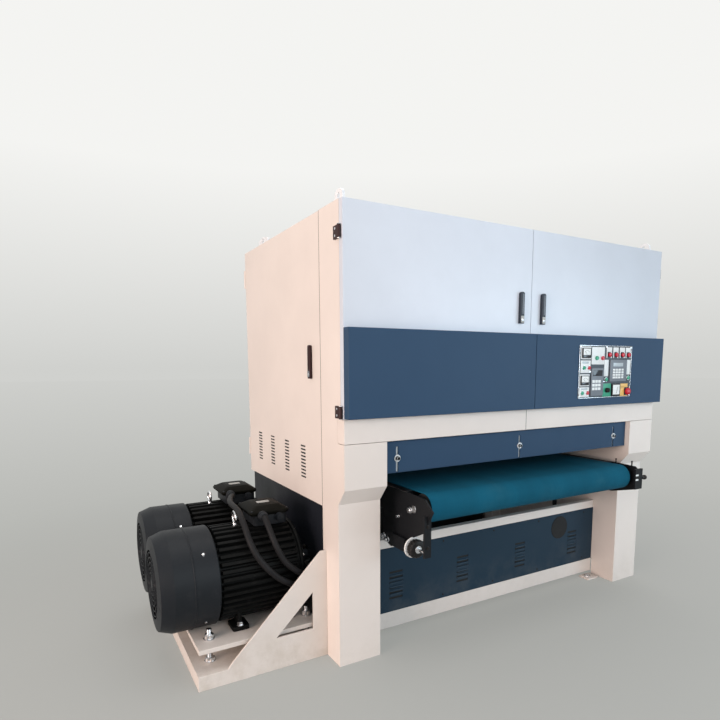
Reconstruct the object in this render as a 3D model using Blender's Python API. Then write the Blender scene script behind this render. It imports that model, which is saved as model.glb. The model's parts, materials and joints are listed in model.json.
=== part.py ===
"""Wide-belt sander: two sanding heads over a rising feed table, with two belt-drive motors
on a mount at the left side. Metres, +Z up, X across the width, Y from front to rear.

Sizes below are in machine coordinates: x from the left side plane, y from the front door
plane, z from the floor. The empty "machine_datum" carries every piece, so that the part's
origin is the centre of the front left leg's sole.
"""
import math

import bmesh
import bpy
from mathutils import Matrix, Vector

# ---------------------------------------------------------------- driving dimensions
body_w = 2.110          # cabinet width
body_h = 2.000          # cabinet height
body_d = 1.260          # cabinet depth
gap = 0.0003            # between pieces that touch
weld = 0.020            # how far a welded member runs into its neighbour, or a cutter past a face
seam = 0.0015           # half of an open seam between sheet covers
play = 0.0003           # radial clearance of a shaft in its bore

leg_w = 0.210           # front leg, across
leg_d = 0.160           # front leg, front to rear, below the chamfer
leg_set_back = 0.060    # lower leg behind the door plane
leg_block_low = 0.815   # lower edge of the leg's proud upper block
leg_chamfer_low = 0.742
leg_top = 1.010
post_w = 0.060          # corner post and top rail width
column_rear = body_d - 0.020    # rear column, rear face
column_front = column_rear - 0.140
column_x = 0.0256       # outer face of the rear column, behind the side door's sheet
foot_plate = 0.012      # closed end of the leg and column tubes
wall_x = leg_w - 0.020  # inner bearing wall, outer face
column_wall = 0.008     # wall of the leg and column tubes, and of the head beam tube
wall_top = body_h - 0.250
side_sheet = 0.025      # depth of the folded side doors
sheet = 0.003           # sheet metal thickness
side_hinge_y = body_d + 0.006   # side door's hinge axis, on the side plane
side_hinge_r = 0.006
tab_t = 0.003
tab_len = 0.100
tab_low = (0.100, 0.200)        # above the door's lower edge, and below the roof
lug_y = ((0.042, 0.134), (body_d - 0.330, body_d - 0.160))
lug_top = (0.055, 0.047)        # above the roof
lug_x = (0.030, 0.042)
lug_eye_z = 0.026
lug_eye_r = 0.014

beam_low = 1.012        # front beam above the guard
beam_high = 1.115
beam_d = 0.060
beam_seam_x = body_w / 2 - 0.010    # joint line of the beam's cover
groove = 0.002

door_depth = 0.030      # folded door pan
apron_proud = 0.045     # lower apron in front of the door plane
apron_high = 1.493
hinge_y = 0.014         # front door's hinge axis
hinge_r = 0.008
hinge_len = 0.052
hinge_leaf = (0.010, 0.062)     # thickness of the leaf's mount, and its rear edge
hinge_low_z = 1.120
hinge_high_z = body_h - 0.155
spindle_r = 0.008       # spindle of every swing handle
spindle_in = 0.022      # its length inside the door
handle_w = 0.025
handle_proud = 0.017
handle_foot = 0.018     # grip below the spindle
handle_rise = 0.134     # grip above it
handle_x = body_w / 2 - 0.074
handle_z = 1.561
side_handle_y = 0.321
side_handle_z = 1.299

panel_x = (body_w - 0.740, body_w - 0.303)      # operating plate
panel_z = (1.163, 1.444)
panel_window = 0.015    # rim that the plate rests on
button_x = (body_w - 0.500, body_w - 0.444, body_w - 0.388, body_w - 0.335)
button_z = 1.395
button_r = 0.012
button_cap = 0.008
button_stem_r = 0.008
button_travel = 0.004
estop_place = (body_w - 0.334, 1.192)
estop_r = 0.020
estop_cap = 0.016

feed_plane = 0.862      # lowest point of the heads and of the guard
guard_y = 0.030
guard_t = 0.008
guard_high = 1.005
guard_bolt_z = 0.928
guard_bolt_r = 0.0055
guard_slot = (0.866, 0.980)
guard_slot_x = (0.282, body_w / 2 - 0.020, body_w - 0.320)
guard_bar_low = 0.900

panel_y = 0.224         # plane of the lower front panel and rails
panel_d = 0.020
base_low = 0.022
base_high = 0.105
rail_low = 0.440
rail_high = 0.487
rail_d = 0.040
base_rail_d = 0.060
louvre_x = (0.363, body_w / 2 - 0.262, body_w / 2 + 0.168, body_w - 0.441)
louvre_w = 0.080
louvre_z = (0.170, 0.315)
louvre_h = 0.011
side_panel_x = 0.0192   # outer face of the plate under a side door
side_panel_t = 0.006
shaft_hole_r = 0.055
vent_y = (0.407, 0.621, 0.833, 1.036)   # side door's vent slots
vent_w = 0.056
vent_low = 0.800
vent_pitch = 0.0168
vent_h = 0.007
rear_window = (0.440, 0.905)
rear_cover_x = 0.030
roof_z = (body_h - 0.014, body_h - 0.002)
collar_r = (0.080, 0.075)
collar_top = body_h + 0.110

belt_left = 0.363       # feed belt, left edge
belt_w = body_w - 0.731
belt_top = 0.776        # feed belt, upper surface
belt_t = 0.003
feed_roller_r = 0.0635
feed_front_y = -0.058   # front feed roller axis
feed_rear_y = body_d - 0.060
cheek_x = 0.314         # left cheek plate, outer face
cheek_rear = body_d - 0.005
cheek_t = 0.008
cheek_top = 0.774
feed_shaft_r = 0.018
screw_r = 0.014
screw_y = (0.420, body_d - 0.260)
screw_low = 0.200
jack_top = 0.360
jack_w = 0.080
bed_y = (0.030, body_d - 0.145)
knob_x = cheek_x + cheek_t / 2      # tracking knob
knob_z = 0.532
knob_r = 0.042
knob_spindle_r = 0.007

head_y = (0.420, body_d - 0.400)    # sanding heads, front and rear
drum_r = 0.100
drum_shaft_r = 0.025
drum_left = 0.375
drum_w = body_w - 0.780
tension_r = 0.075
tension_shaft_r = 0.020
tension_z = body_h - 0.380
abrasive_t = 0.0015
arm_x = 0.300           # head arm plate, outer face
arm_t = 0.030
arm_half = 0.055
head_beam_half = 0.045
head_beam_z = (1.180, body_h - 0.560)
drum_pulley_r = 0.080
pulley_x = 0.060
pulley_w = 0.080
drive_belt_t = 0.008
drive_belt_w = 0.070

press_y = (0.270, body_d / 2 + 0.010, body_d - 0.240)
press_r = 0.030
press_shaft_r = 0.012
press_lift = 0.0005     # pressure rollers above the feed plane

motor_y = (0.476, body_d - 0.310)
motor_z = 0.390
motor_height = 0.225    # axis above the feet
motor_r = 0.192
motor_fin_r = 0.217
motor_left = -0.466
motor_right = -0.085
motor_shaft_r = 0.030
motor_pulley_r = 0.090
fan_cover_r = 0.2245
fan_cover_left = (-0.674, -0.655)   # end of the straight barrel, front and rear motor
fan_bevel = (0.030, 0.014)
fan_dome = 0.008
fan_end_r = 0.150
box_x = (-0.292, -0.102)    # terminal box
box_half = 0.105
box_top = 0.697
lead_r = 0.014

mount_left = -0.590     # motor mount tray
mount_front = 0.185
mount_rear = body_d - 0.060
tray_h = 0.065
tray_wall = 0.010
plate_t = 0.020
gusset_t = 0.010
stud_x = (-0.514, -0.058)
stud_y = (0.300, mount_rear - 0.080)
stud_r = 0.011

side_door_low = 0.704
round_steps = 20
small_steps = 10

# ---------------------------------------------------------------- worked out from them
leg_rear = leg_set_back + leg_d
belt_r = feed_roller_r / math.cos(math.pi / round_steps) + gap     # belt's inner radius
roller_z = belt_top - belt_t - belt_r
abrasive_r = drum_r / math.cos(math.pi / round_steps) + gap
drum_z = feed_plane + abrasive_t + abrasive_r
tension_belt_r = tension_r / math.cos(math.pi / round_steps) + gap
press_z = feed_plane + press_lift + press_r
panel_face = -apron_proud - gap - sheet
tie_mid = cheek_x + cheek_t + (belt_left - cheek_x - cheek_t) / 2   # lift screws, from the side
datum = Vector((-leg_w / 2, -(leg_set_back + leg_d / 2), 0.0))


def start_scene():
    """Remove what the scene holds and return the empty that carries the machine."""
    for item in list(bpy.data.objects):
        bpy.data.objects.remove(item)
    empty = bpy.data.objects.new("machine_datum", None)
    empty.location = datum
    bpy.context.scene.collection.objects.link(empty)
    return empty


machine = start_scene()
materials = {}


def finish(name, colour, roughness, metallic):
    """Make a Principled material and keep it under its name."""
    mat = bpy.data.materials.new(name)
    mat.use_nodes = True
    shader = mat.node_tree.nodes["Principled BSDF"]
    shader.inputs["Base Color"].default_value = (*colour, 1.0)
    shader.inputs["Roughness"].default_value = roughness
    shader.inputs["Metallic"].default_value = metallic
    materials[name] = mat


finish("cream_paint", (0.86, 0.73, 0.62), 0.45, 0.0)
finish("pale_door", (0.66, 0.68, 0.76), 0.4, 0.0)
finish("navy_paint", (0.045, 0.085, 0.14), 0.4, 0.0)
finish("black_paint", (0.015, 0.016, 0.018), 0.45, 0.0)
finish("motor_black", (0.012, 0.013, 0.014), 0.5, 0.0)
finish("teal_belt", (0.012, 0.13, 0.18), 0.6, 0.0)
finish("ground_steel", (0.55, 0.56, 0.58), 0.3, 1.0)
finish("drum_rubber", (0.03, 0.03, 0.032), 0.7, 0.0)
finish("roller_alloy", (0.60, 0.61, 0.63), 0.35, 1.0)
finish("abrasive", (0.30, 0.10, 0.05), 0.9, 0.0)
finish("drive_rubber", (0.02, 0.02, 0.02), 0.7, 0.0)
finish("black_plastic", (0.02, 0.02, 0.022), 0.4, 0.0)
finish("panel_grey", (0.30, 0.33, 0.36), 0.4, 0.0)
finish("red_plastic", (0.62, 0.02, 0.03), 0.35, 0.0)
finish("lead_rubber", (0.015, 0.015, 0.015), 0.6, 0.0)


# ---------------------------------------------------------------- solids
# A solid is a bmesh. Axis names give the direction that a shape is extruded or turned along;
# outlines are pairs in the other two axes, in X, Y, Z order.
def place(axis, a, b, along):
    """Return a point from two outline values and one along the axis."""
    if axis == "x":
        return Vector((along, a, b))
    if axis == "y":
        return Vector((a, along, b))
    return Vector((a, b, along))


def prism(axis, outline, low, high):
    """Extrude a closed outline between two places along an axis."""
    bm = bmesh.new()
    first = [bm.verts.new(place(axis, a, b, low)) for a, b in outline]
    last = [bm.verts.new(place(axis, a, b, high)) for a, b in outline]
    bm.faces.new(first)
    bm.faces.new(last[::-1])
    count = len(outline)
    for i in range(count):
        j = (i + 1) % count
        bm.faces.new((first[i], last[i], last[j], first[j]))
    bmesh.ops.recalc_face_normals(bm, faces=bm.faces)
    return bm


def box(x, y, z):
    """Make a box from three pairs of limits."""
    outline = ((x[0], y[0]), (x[1], y[0]), (x[1], y[1]), (x[0], y[1]))
    return prism("z", outline, z[0], z[1])


def turned(axis, centre, profile, steps=round_steps):
    """Turn a profile of (place along the axis, radius) pairs; its ends close flat."""
    bm = bmesh.new()
    rings = []
    for along, radius in profile:
        ring = []
        for i in range(steps):
            turn = 2 * math.pi * (i + 0.5) / steps
            a = centre[0] + radius * math.cos(turn)
            b = centre[1] + radius * math.sin(turn)
            ring.append(bm.verts.new(place(axis, a, b, along)))
        rings.append(ring)
    for ring, after in zip(rings, rings[1:]):
        for i in range(steps):
            j = (i + 1) % steps
            bm.faces.new((ring[i], ring[j], after[j], after[i]))
    bm.faces.new(rings[0])
    bm.faces.new(rings[-1][::-1])
    bmesh.ops.recalc_face_normals(bm, faces=bm.faces)
    return bm


def rod(axis, centre, radius, low, high, steps=round_steps):
    """Make a cylinder."""
    return turned(axis, centre, ((low, radius), (high, radius)), steps)


def bore(axis, centre, shaft_r, low, high, steps=round_steps, clearance=play):
    """Make the cutter of a bore whose flats clear a turning shaft."""
    return rod(axis, centre, (shaft_r + clearance) / math.cos(math.pi / steps), low, high, steps)


def loop_outline(first, first_r, second, second_r, steps):
    """Outline of a belt round two pulleys: two arcs joined by their tangents."""
    (ax, ay), (bx, by) = first, second
    heading = math.atan2(by - ay, bx - ax)
    lean = math.acos((first_r - second_r) / math.hypot(bx - ax, by - ay))
    points = []
    for i in range(steps + 1):
        turn = heading + lean + (2 * math.pi - 2 * lean) * i / steps
        points.append((ax + first_r * math.cos(turn), ay + first_r * math.sin(turn)))
    for i in range(steps + 1):
        turn = heading - lean + 2 * lean * i / steps
        points.append((bx + second_r * math.cos(turn), by + second_r * math.sin(turn)))
    return points


def belt(axis, first, first_r, second, second_r, thickness, low, high, steps=12):
    """Make an endless flat belt round two pulleys."""
    inner = loop_outline(first, first_r, second, second_r, steps)
    outer = loop_outline(first, first_r + thickness, second, second_r + thickness, steps)
    bm = bmesh.new()
    rings = []
    for outline, along in ((inner, low), (outer, low), (outer, high), (inner, high)):
        rings.append([bm.verts.new(place(axis, a, b, along)) for a, b in outline])
    count = len(inner)
    for k in range(4):
        ring, after = rings[k], rings[(k + 1) % 4]
        for i in range(count):
            j = (i + 1) % count
            bm.faces.new((ring[i], ring[j], after[j], after[i]))
    bmesh.ops.recalc_face_normals(bm, faces=bm.faces)
    return bm


def joined(solids):
    """Gather solids that don't touch each other in one bmesh, as one cutter."""
    bm = bmesh.new()
    for solid in solids:
        held = bpy.data.meshes.new("held")
        solid.to_mesh(held)
        solid.free()
        bm.from_mesh(held)
        bpy.data.meshes.remove(held)
    return bm


def as_object(bm, name):
    """Link a bmesh to the scene as an object."""
    mesh = bpy.data.meshes.new(name)
    bm.to_mesh(mesh)
    bm.free()
    item = bpy.data.objects.new(name, mesh)
    bpy.context.scene.collection.objects.link(item)
    return item


def piece(name, material, solids, cuts=(), pivot=(0.0, 0.0, 0.0)):
    """Union the solids, take the cuts away, and keep the result as one named object.

    pivot is a point on the piece's joint axis, which becomes the object's origin.
    """
    item = as_object(solids[0], name)
    helpers = []
    for operation, shapes in (("UNION", solids[1:]), ("DIFFERENCE", cuts)):
        for shape in shapes:
            helper = as_object(shape, name + "_tool")
            helpers.append(helper)
            step = item.modifiers.new(operation.lower(), "BOOLEAN")
            step.operation = operation
            step.solver = "EXACT"
            step.object = helper
    if helpers:
        bpy.context.view_layer.update()
        shape = item.evaluated_get(bpy.context.evaluated_depsgraph_get())
        made = bpy.data.meshes.new_from_object(shape)
        item.modifiers.clear()
        item.data = made
        for helper in helpers:
            bpy.data.objects.remove(helper)
    bm = bmesh.new()
    bm.from_mesh(item.data)
    bmesh.ops.remove_doubles(bm, verts=bm.verts, dist=1e-6)
    bmesh.ops.dissolve_limit(bm, angle_limit=1e-4, verts=bm.verts, edges=bm.edges)
    bmesh.ops.triangulate(bm, faces=bm.faces)
    bm.to_mesh(item.data)
    bm.free()
    item.data.name = name
    item.data.transform(Matrix.Translation(-Vector(pivot)))
    item.data.materials.clear()
    item.data.materials.append(materials[material])
    item.data.shade_smooth()
    item.data.set_sharp_from_angle(angle=math.radians(30))
    item.parent = machine
    item.location = pivot
    return item


def across(side, near, far):
    """X limits of a piece given from the left side plane, mirrored on the right side."""
    if side == "left":
        return (near, far)
    return (body_w - far, body_w - near)


def at(side, x):
    """An X place given from the left side plane, mirrored on the right side."""
    return x if side == "left" else body_w - x


# ---------------------------------------------------------------- frame
def side_frame(side):
    """Welded side: front leg, corner post, rear column, bearing wall, top rail and lugs."""
    leg = ((leg_set_back, 0.0), (leg_rear, 0.0), (leg_rear, leg_top), (0.0, leg_top),
           (0.0, leg_block_low), (leg_set_back, leg_chamfer_low))
    post = ((beam_d + gap, leg_top - weld), (leg_rear, leg_top - weld), (leg_rear, body_h),
            (door_depth + gap, body_h), (door_depth + gap, beam_high + gap),
            (beam_d + gap, beam_high + gap))
    solids = [
        prism("x", leg, *across(side, 0.0, leg_w)),
        prism("x", post, *across(side, 0.0, post_w)),
        box(across(side, wall_x, leg_w), (leg_rear - weld, column_front + weld), (base_high, wall_top)),
        box(across(side, column_x, leg_w), (column_front, column_rear), (0.0, body_h)),
        box(across(side, column_x, post_w), (leg_rear - weld, column_front + weld),
            (body_h - post_w, body_h)),
    ]
    inner = column_x + gap
    tab = ((inner, column_rear - weld), (inner + tab_t, column_rear - weld),
           (inner + tab_t, side_hinge_y + tab_t / 2), (0.002, side_hinge_y + tab_t / 2),
           (0.002, body_d + gap), (inner, body_d + gap))
    tab = [(at(side, x), y) for x, y in tab]
    for low in (side_door_low + tab_low[0], body_h - tab_low[1]):
        solids.append(prism("z", tab, low, low + tab_len))
        solids.append(rod("z", (at(side, 0.0), side_hinge_y), side_hinge_r, low - 0.001,
                          low + tab_len + 0.001, small_steps))
    eyes = []
    for (y0, y1), rise in zip(lug_y, lug_top):
        mid, top, foot = (y0 + y1) / 2, body_h + rise, min(0.015, (y1 - y0) / 6)
        lug = ((y0, body_h - weld), (y1, body_h - weld), (y1 - foot, top - 0.012),
               (mid + 0.015, top), (mid - 0.015, top), (y0 + foot, top - 0.012))
        solids.append(prism("x", lug, *across(side, *lug_x)))
        eyes.append(rod("x", (mid, body_h + lug_eye_z), lug_eye_r,
                        *across(side, lug_x[0] - weld, lug_x[1] + weld), small_steps))
    cuts = [box(across(side, post_w + column_wall, leg_w - column_wall),
                (leg_set_back + column_wall, leg_rear - column_wall), (foot_plate, leg_top + weld)),
            box(across(side, column_x + column_wall, leg_w - column_wall),
                (column_front + column_wall, column_rear - column_wall), (foot_plate, body_h + weld)),
            joined(eyes)]
    wall = across(side, wall_x - weld, leg_w + weld)
    bores = [bore("x", (y, press_z), press_shaft_r, *wall) for y in press_y]
    if side == "left":
        bores += [bore("x", (y, drum_z), drum_shaft_r, *wall, clearance=0.012) for y in head_y]
    cuts.append(joined(bores))
    return piece(side + "_side_frame", "cream_paint", solids, cuts)


def base_frame():
    """Base rails, cross ties, the cream rail over the lower panel, and the four jack towers."""
    inner = (leg_w + gap, body_w - leg_w - gap)
    solids = [box(inner, (panel_y, panel_y + base_rail_d), (base_low, base_high)),
              box(inner, (column_front, column_rear), (base_low, base_high)),
              box(inner, (panel_y, panel_y + rail_d), (rail_low, rail_high))]
    bores = []
    for side in ("left", "right"):
        tie = across(side, tie_mid - jack_w / 2, tie_mid + jack_w / 2)
        solids.append(box(tie, (panel_y + rail_d, column_front + weld), (base_low, base_high)))
        solids.append(box(across(side, leg_w + gap, leg_w + base_rail_d),
                          (panel_y + panel_d + gap, panel_y + base_rail_d), (base_low, rail_high - weld / 2)))
        for y in screw_y:
            solids.append(box(tie, (y - jack_w / 2, y + jack_w / 2), (base_low, jack_top)))
            bores.append(bore("z", (at(side, tie_mid), y), screw_r, 0.0, jack_top + weld, small_steps))
    return piece("base_frame", "cream_paint", solids, [joined(bores)])


def front_beam():
    """Channel beam across the front with a joint line at its middle."""
    x = (0.0005, body_w - 0.0005)
    wall = 2 * sheet
    cuts = [box((x[0] + wall, x[1] - wall), (wall, beam_d + weld), (beam_low + wall, beam_high - wall)),
            box((beam_seam_x - groove / 2, beam_seam_x + groove / 2), (-weld, groove),
                (beam_low - weld, beam_high + weld))]
    return piece("front_beam", "cream_paint", [box(x, (0.0, beam_d), (beam_low, beam_high))], cuts)


def guard_rail():
    """Bar behind the guard, with the three clamp bolts whose shanks pass its slots."""
    solids = [box((leg_w + gap, body_w - leg_w - gap), (guard_y + guard_t + gap, beam_d - 0.001),
                  (guard_bar_low, guard_high))]
    for x in guard_slot_x:
        profile = ((guard_y - 0.013, 0.009), (guard_y - 0.003 - gap, 0.009),
                   (guard_y - 0.003 - gap, 0.014), (guard_y - gap, 0.014),
                   (guard_y - gap, guard_bolt_r), (guard_y + guard_t + 0.005, guard_bolt_r))
        solids.append(turned("y", (x, guard_bolt_z), profile, small_steps))
    return piece("guard_rail", "ground_steel", solids)


def louvres(x_pairs, z_low, z_high, count, height, y):
    """Rows of slots through a sheet that faces front."""
    pitch = (z_high - z_low - height) / (count - 1)
    slots = []
    for x in x_pairs:
        for i in range(count):
            low = z_low + pitch * i
            slots.append(box(x, y, (low, low + height)))
    return joined(slots)


def lower_front_panel():
    """Folded panel between the base rail and the cream rail, with four louvre groups."""
    x = (leg_w + gap, body_w - leg_w - gap)
    y = (panel_y, panel_y + panel_d)
    z = (base_high + gap, rail_low - gap)
    inside = box((x[0] + sheet, x[1] - sheet), (y[0] + sheet, y[1] + weld), (z[0] + sheet, z[1] - sheet))
    groups = [(left, left + louvre_w) for left in louvre_x]
    slots = louvres(groups, *louvre_z, 6, louvre_h, (y[0] - weld, y[0] + 2 * sheet))
    return piece("lower_front_panel", "navy_paint", [box(x, y, z)], [inside, slots])


def rear_cover():
    """Sheet over the whole rear with the outfeed window."""
    x = (rear_cover_x, body_w - rear_cover_x)
    top = roof_z[0] - 0.001
    cover = box(x, (column_rear + gap, body_d - gap), (base_low, top))
    inside = box((x[0] + sheet, x[1] - sheet), (column_rear - weld, body_d - sheet),
                 (base_low + sheet, top - sheet))
    window = box((leg_w, body_w - leg_w), (column_rear - weld, body_d + weld), rear_window)
    return piece("rear_cover", "cream_paint", [cover], [inside, window])


def roof_panel():
    """Roof sheet with the dust collars of the two heads."""
    x = (post_w + gap, body_w - post_w - gap)
    solids = [box(x, (door_depth + gap, column_rear), roof_z)]
    outer, inner = collar_r
    for y in head_y:
        solids.append(rod("z", (body_w / 2, y), outer, roof_z[0] + 0.004, collar_top))
    bores = joined([rod("z", (body_w / 2, y), inner, roof_z[0] - weld, collar_top + weld) for y in head_y])
    corners = joined([box(across(side, post_w, leg_w + seam), (column_front - seam, column_rear + weld),
                          (roof_z[0] - weld, roof_z[1] + weld)) for side in ("left", "right")])
    cuts = [bores, corners]
    return piece("roof_panel", "cream_paint", solids, cuts)


def side_lower_panel(side):
    """Plate under the side door, lying on the rear column; the left one has the shaft holes."""
    x = (side_panel_x, side_panel_x + side_panel_t)
    plate = box(across(side, *x), (leg_rear + gap, body_d - seam), (base_low, side_door_low - sheet))
    cuts = []
    if side == "left":
        cuts.append(joined([rod("x", (y, motor_z), shaft_hole_r, x[0] - weld, x[1] + weld) for y in motor_y]))
    return piece(side + "_lower_panel", "navy_paint", [plate], cuts)


# ---------------------------------------------------------------- doors
def front_door(side):
    """Folded pan door over the front, with the bore of its handle's spindle."""
    x = across(side, 0.0005, body_w / 2 - seam)
    z = (beam_high + seam, body_h - seam)
    pan = box(x, (0.0, door_depth), z)
    inside = box((x[0] + sheet, x[1] - sheet), (sheet, door_depth + weld), (z[0] + sheet, z[1] - sheet))
    spindle = bore("y", (at(side, handle_x), handle_z), spindle_r, -weld, weld, small_steps)
    pivot = (at(side, -hinge_r), hinge_y, z[0])
    return piece("front_" + side + "_door", "pale_door", [pan], [inside, spindle], pivot)


def front_apron(side):
    """Proud navy cover on the lower part of a front door."""
    x = across(side, 0.0005, body_w / 2 - seam)
    z = (hinge_low_z, apron_high)
    pan = box(x, (-apron_proud, -gap), z)
    inside = box((x[0] + sheet, x[1] - sheet), (sheet - apron_proud, weld), (z[0] + sheet, z[1] - sheet))
    cuts = [inside]
    if side == "right":
        cuts.append(box((panel_x[0] + panel_window, panel_x[1] - panel_window),
                        (-apron_proud - weld, -apron_proud + weld),
                        (panel_z[0] + panel_window, panel_z[1] - panel_window)))
    pivot = (at(side, -hinge_r), hinge_y, z[0])
    return piece("front_" + side + "_apron", "navy_paint", [pan], cuts, pivot)


def front_hinge(side, level, low):
    """Hinge block on the cabinet's side, with the barrel that the door turns on."""
    high = low + hinge_len
    leaf = box(across(side, -hinge_leaf[0], -gap), (hinge_y + 0.002, hinge_leaf[1]), (low, high))
    barrel = rod("z", (at(side, -hinge_r), hinge_y), hinge_r, low, high, small_steps)
    return piece("front_" + side + "_hinge_" + level, "black_paint", [barrel, leaf])


def side_door(side):
    """Folded side door with four columns of vent slots and its handle's bore."""
    x = across(side, 0.0, side_sheet)
    y = (leg_rear + 0.004, body_d - seam)
    z = (side_door_low, body_h - seam)
    pan = box(x, y, z)
    inside = box(across(side, sheet, side_sheet + weld), (y[0] + sheet, y[1] - sheet),
                 (z[0] + sheet, z[1] - sheet))
    slots = []
    for front in vent_y:
        for i in range(10):
            low = vent_low + vent_pitch * i
            slots.append(box(across(side, -weld, 2 * sheet), (front, front + vent_w), (low, low + vent_h)))
    spindle = bore("x", (side_handle_y, side_handle_z), spindle_r, *across(side, -weld, weld), small_steps)
    pivot = (at(side, 0.0), side_hinge_y, z[0])
    return piece(side + "_side_door", "cream_paint", [pan], [inside, joined(slots), spindle], pivot)


def grip_outline(a, z):
    """Outline of a swing handle's grip seen from outside, round its spindle."""
    half, low, high = handle_w / 2, z - handle_foot, z + handle_rise
    corner = 0.006
    return ((a - half, low), (a + half, low), (a + half, high - corner), (a + half - corner, high),
            (a - half + corner, high), (a - half, high - corner))


def front_handle(side):
    """Swing handle of a front door, on a spindle through the door."""
    x = at(side, handle_x)
    solids = [prism("y", grip_outline(x, handle_z), -handle_proud, -gap),
              rod("y", (x, handle_z), spindle_r, -handle_proud / 2, spindle_in, small_steps)]
    return piece("front_" + side + "_handle", "black_plastic", solids, pivot=(x, 0.0, handle_z))


def side_handle(side):
    """Swing handle of a side door."""
    y, z = side_handle_y, side_handle_z
    solids = [prism("x", grip_outline(y, z), *across(side, -handle_proud, -gap)),
              rod("x", (y, z), spindle_r, *across(side, -handle_proud / 2, spindle_in), small_steps)]
    return piece(side + "_side_handle", "black_plastic", solids, pivot=(at(side, 0.0), y, z))


def control_panel():
    """Operating plate on the right apron, bored for its buttons."""
    plate = box(panel_x, (panel_face, -apron_proud - gap), panel_z)
    bores = [bore("y", place_xz, button_stem_r, panel_face - weld, panel_face + weld, small_steps)
             for place_xz in [(x, button_z) for x in button_x] + [estop_place]]
    return piece("control_panel", "panel_grey", [plate], [joined(bores)])


def push_button(name, place_xz, radius, cap, material):
    """Cap on a stem through the plate, standing off the plate by its travel."""
    back = panel_face - button_travel - 0.0005
    profile = ((back - cap, radius * 0.86), (back - cap * 0.75, radius), (back, radius),
               (back, button_stem_r), (panel_face + 0.012, button_stem_r))
    return piece(name, material, [turned("y", place_xz, profile, small_steps)],
                 pivot=(place_xz[0], panel_face, place_xz[1]))


def front_guard():
    """Height-adjustable guard plate with three slots."""
    plate = box((leg_w + gap, body_w - leg_w - gap), (guard_y, guard_y + guard_t), (feed_plane, guard_high))
    slots = []
    for x in guard_slot_x:
        half = guard_bolt_r + 0.0005
        slots.append(box((x - half, x + half), (0.0, 0.06), guard_slot))
    return piece("front_guard", "navy_paint", [plate], [joined(slots)])


# ---------------------------------------------------------------- feed table
def table_bed():
    """Steel bed between the belt's runs, with the four lift screws under its edges."""
    x = (cheek_x + cheek_t + gap, body_w - cheek_x - cheek_t - gap)
    low = roller_z - belt_r + 0.006
    solids = [box(x, bed_y, (low, belt_top - belt_t - gap))]
    for side in ("left", "right"):
        for y in screw_y:
            solids.append(rod("z", (at(side, tie_mid), y), screw_r, screw_low, low + weld, small_steps))
    rim, wall = belt_left - cheek_x, 0.012
    hollow = box((x[0] + rim, x[1] - rim), (bed_y[0] + wall, bed_y[1] - wall),
                 (low - weld, belt_top - belt_t - gap - wall))
    return piece("table_bed", "black_paint", solids, [hollow])


def left_cheek():
    """Left cheek plate of the feed table, with its stop bar and the knob's bush."""
    outline = ((-0.139, 0.769), (-0.195, 0.723), (-0.134, 0.619), (0.133, 0.485), (0.206, 0.504),
               (0.206, 0.655), (cheek_rear, 0.655), (cheek_rear, cheek_top), (0.0, cheek_top))
    solids = [prism("x", outline, cheek_x, cheek_x + cheek_t),
              box((cheek_x - 0.016, cheek_x + cheek_t + 0.012), (-0.160, -0.150), (0.515, 0.700)),
              box((knob_x - 0.020, knob_x + 0.020), (-0.005, 0.100), (knob_z - 0.032, knob_z + 0.030))]
    bores = [bore("x", (y, roller_z), feed_shaft_r, cheek_x - weld, cheek_x + cheek_t + weld)
             for y in (feed_front_y, feed_rear_y)]
    bores.append(bore("y", (knob_x, knob_z), knob_spindle_r, -0.03, 0.12, small_steps))
    return piece("left_cheek", "black_paint", solids, [joined(bores)])


def right_cheek():
    """Right cheek plate of the feed table, with its front bracket."""
    outline = ((-0.120, 0.769), (-0.150, 0.745), (-0.140, 0.640), (0.020, 0.600), (0.206, 0.600),
               (0.206, 0.655), (cheek_rear, 0.655), (cheek_rear, cheek_top), (0.0, cheek_top))
    near = body_w - cheek_x - cheek_t
    solids = [prism("x", outline, near, near + cheek_t),
              box((near - 0.036, near + 0.026), (-0.152, -0.140), (0.645, 0.760))]
    bores = [bore("x", (y, roller_z), feed_shaft_r, near - weld, near + cheek_t + weld)
             for y in (feed_front_y, feed_rear_y)]
    return piece("right_cheek", "black_paint", solids, [joined(bores)])


def tracking_knob():
    """Hand knob of the feed belt's tracking screw, on its spindle."""
    thin = knob_spindle_r
    profile = ((-0.128, thin), (-0.088, thin), (-0.088, 0.036), (-0.082, knob_r), (-0.058, knob_r),
               (-0.052, 0.036), (-0.052, 0.014), (-0.006, 0.014), (-0.006, thin), (0.098, thin))
    return piece("tracking_knob", "black_plastic", [turned("y", (knob_x, knob_z), profile)],
                 pivot=(knob_x, 0.0, knob_z))


def feed_roller(name, y):
    """Roller of the feed belt with its shaft."""
    x0 = belt_left + 0.003
    x1 = belt_left + belt_w - 0.003
    profile = ((cheek_x - 0.002, feed_shaft_r), (x0, feed_shaft_r), (x0, feed_roller_r),
               (x1, feed_roller_r), (x1, feed_shaft_r), (body_w - cheek_x + 0.002, feed_shaft_r))
    return piece(name, "drum_rubber", [turned("x", (y, roller_z), profile)],
                 pivot=(cheek_x, y, roller_z))


def feed_belt():
    """Endless feed belt round the two rollers."""
    solid = belt("x", (feed_front_y, roller_z), belt_r, (feed_rear_y, roller_z), belt_r, belt_t,
                 belt_left, belt_left + belt_w)
    return piece("feed_belt", "teal_belt", [solid])


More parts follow.
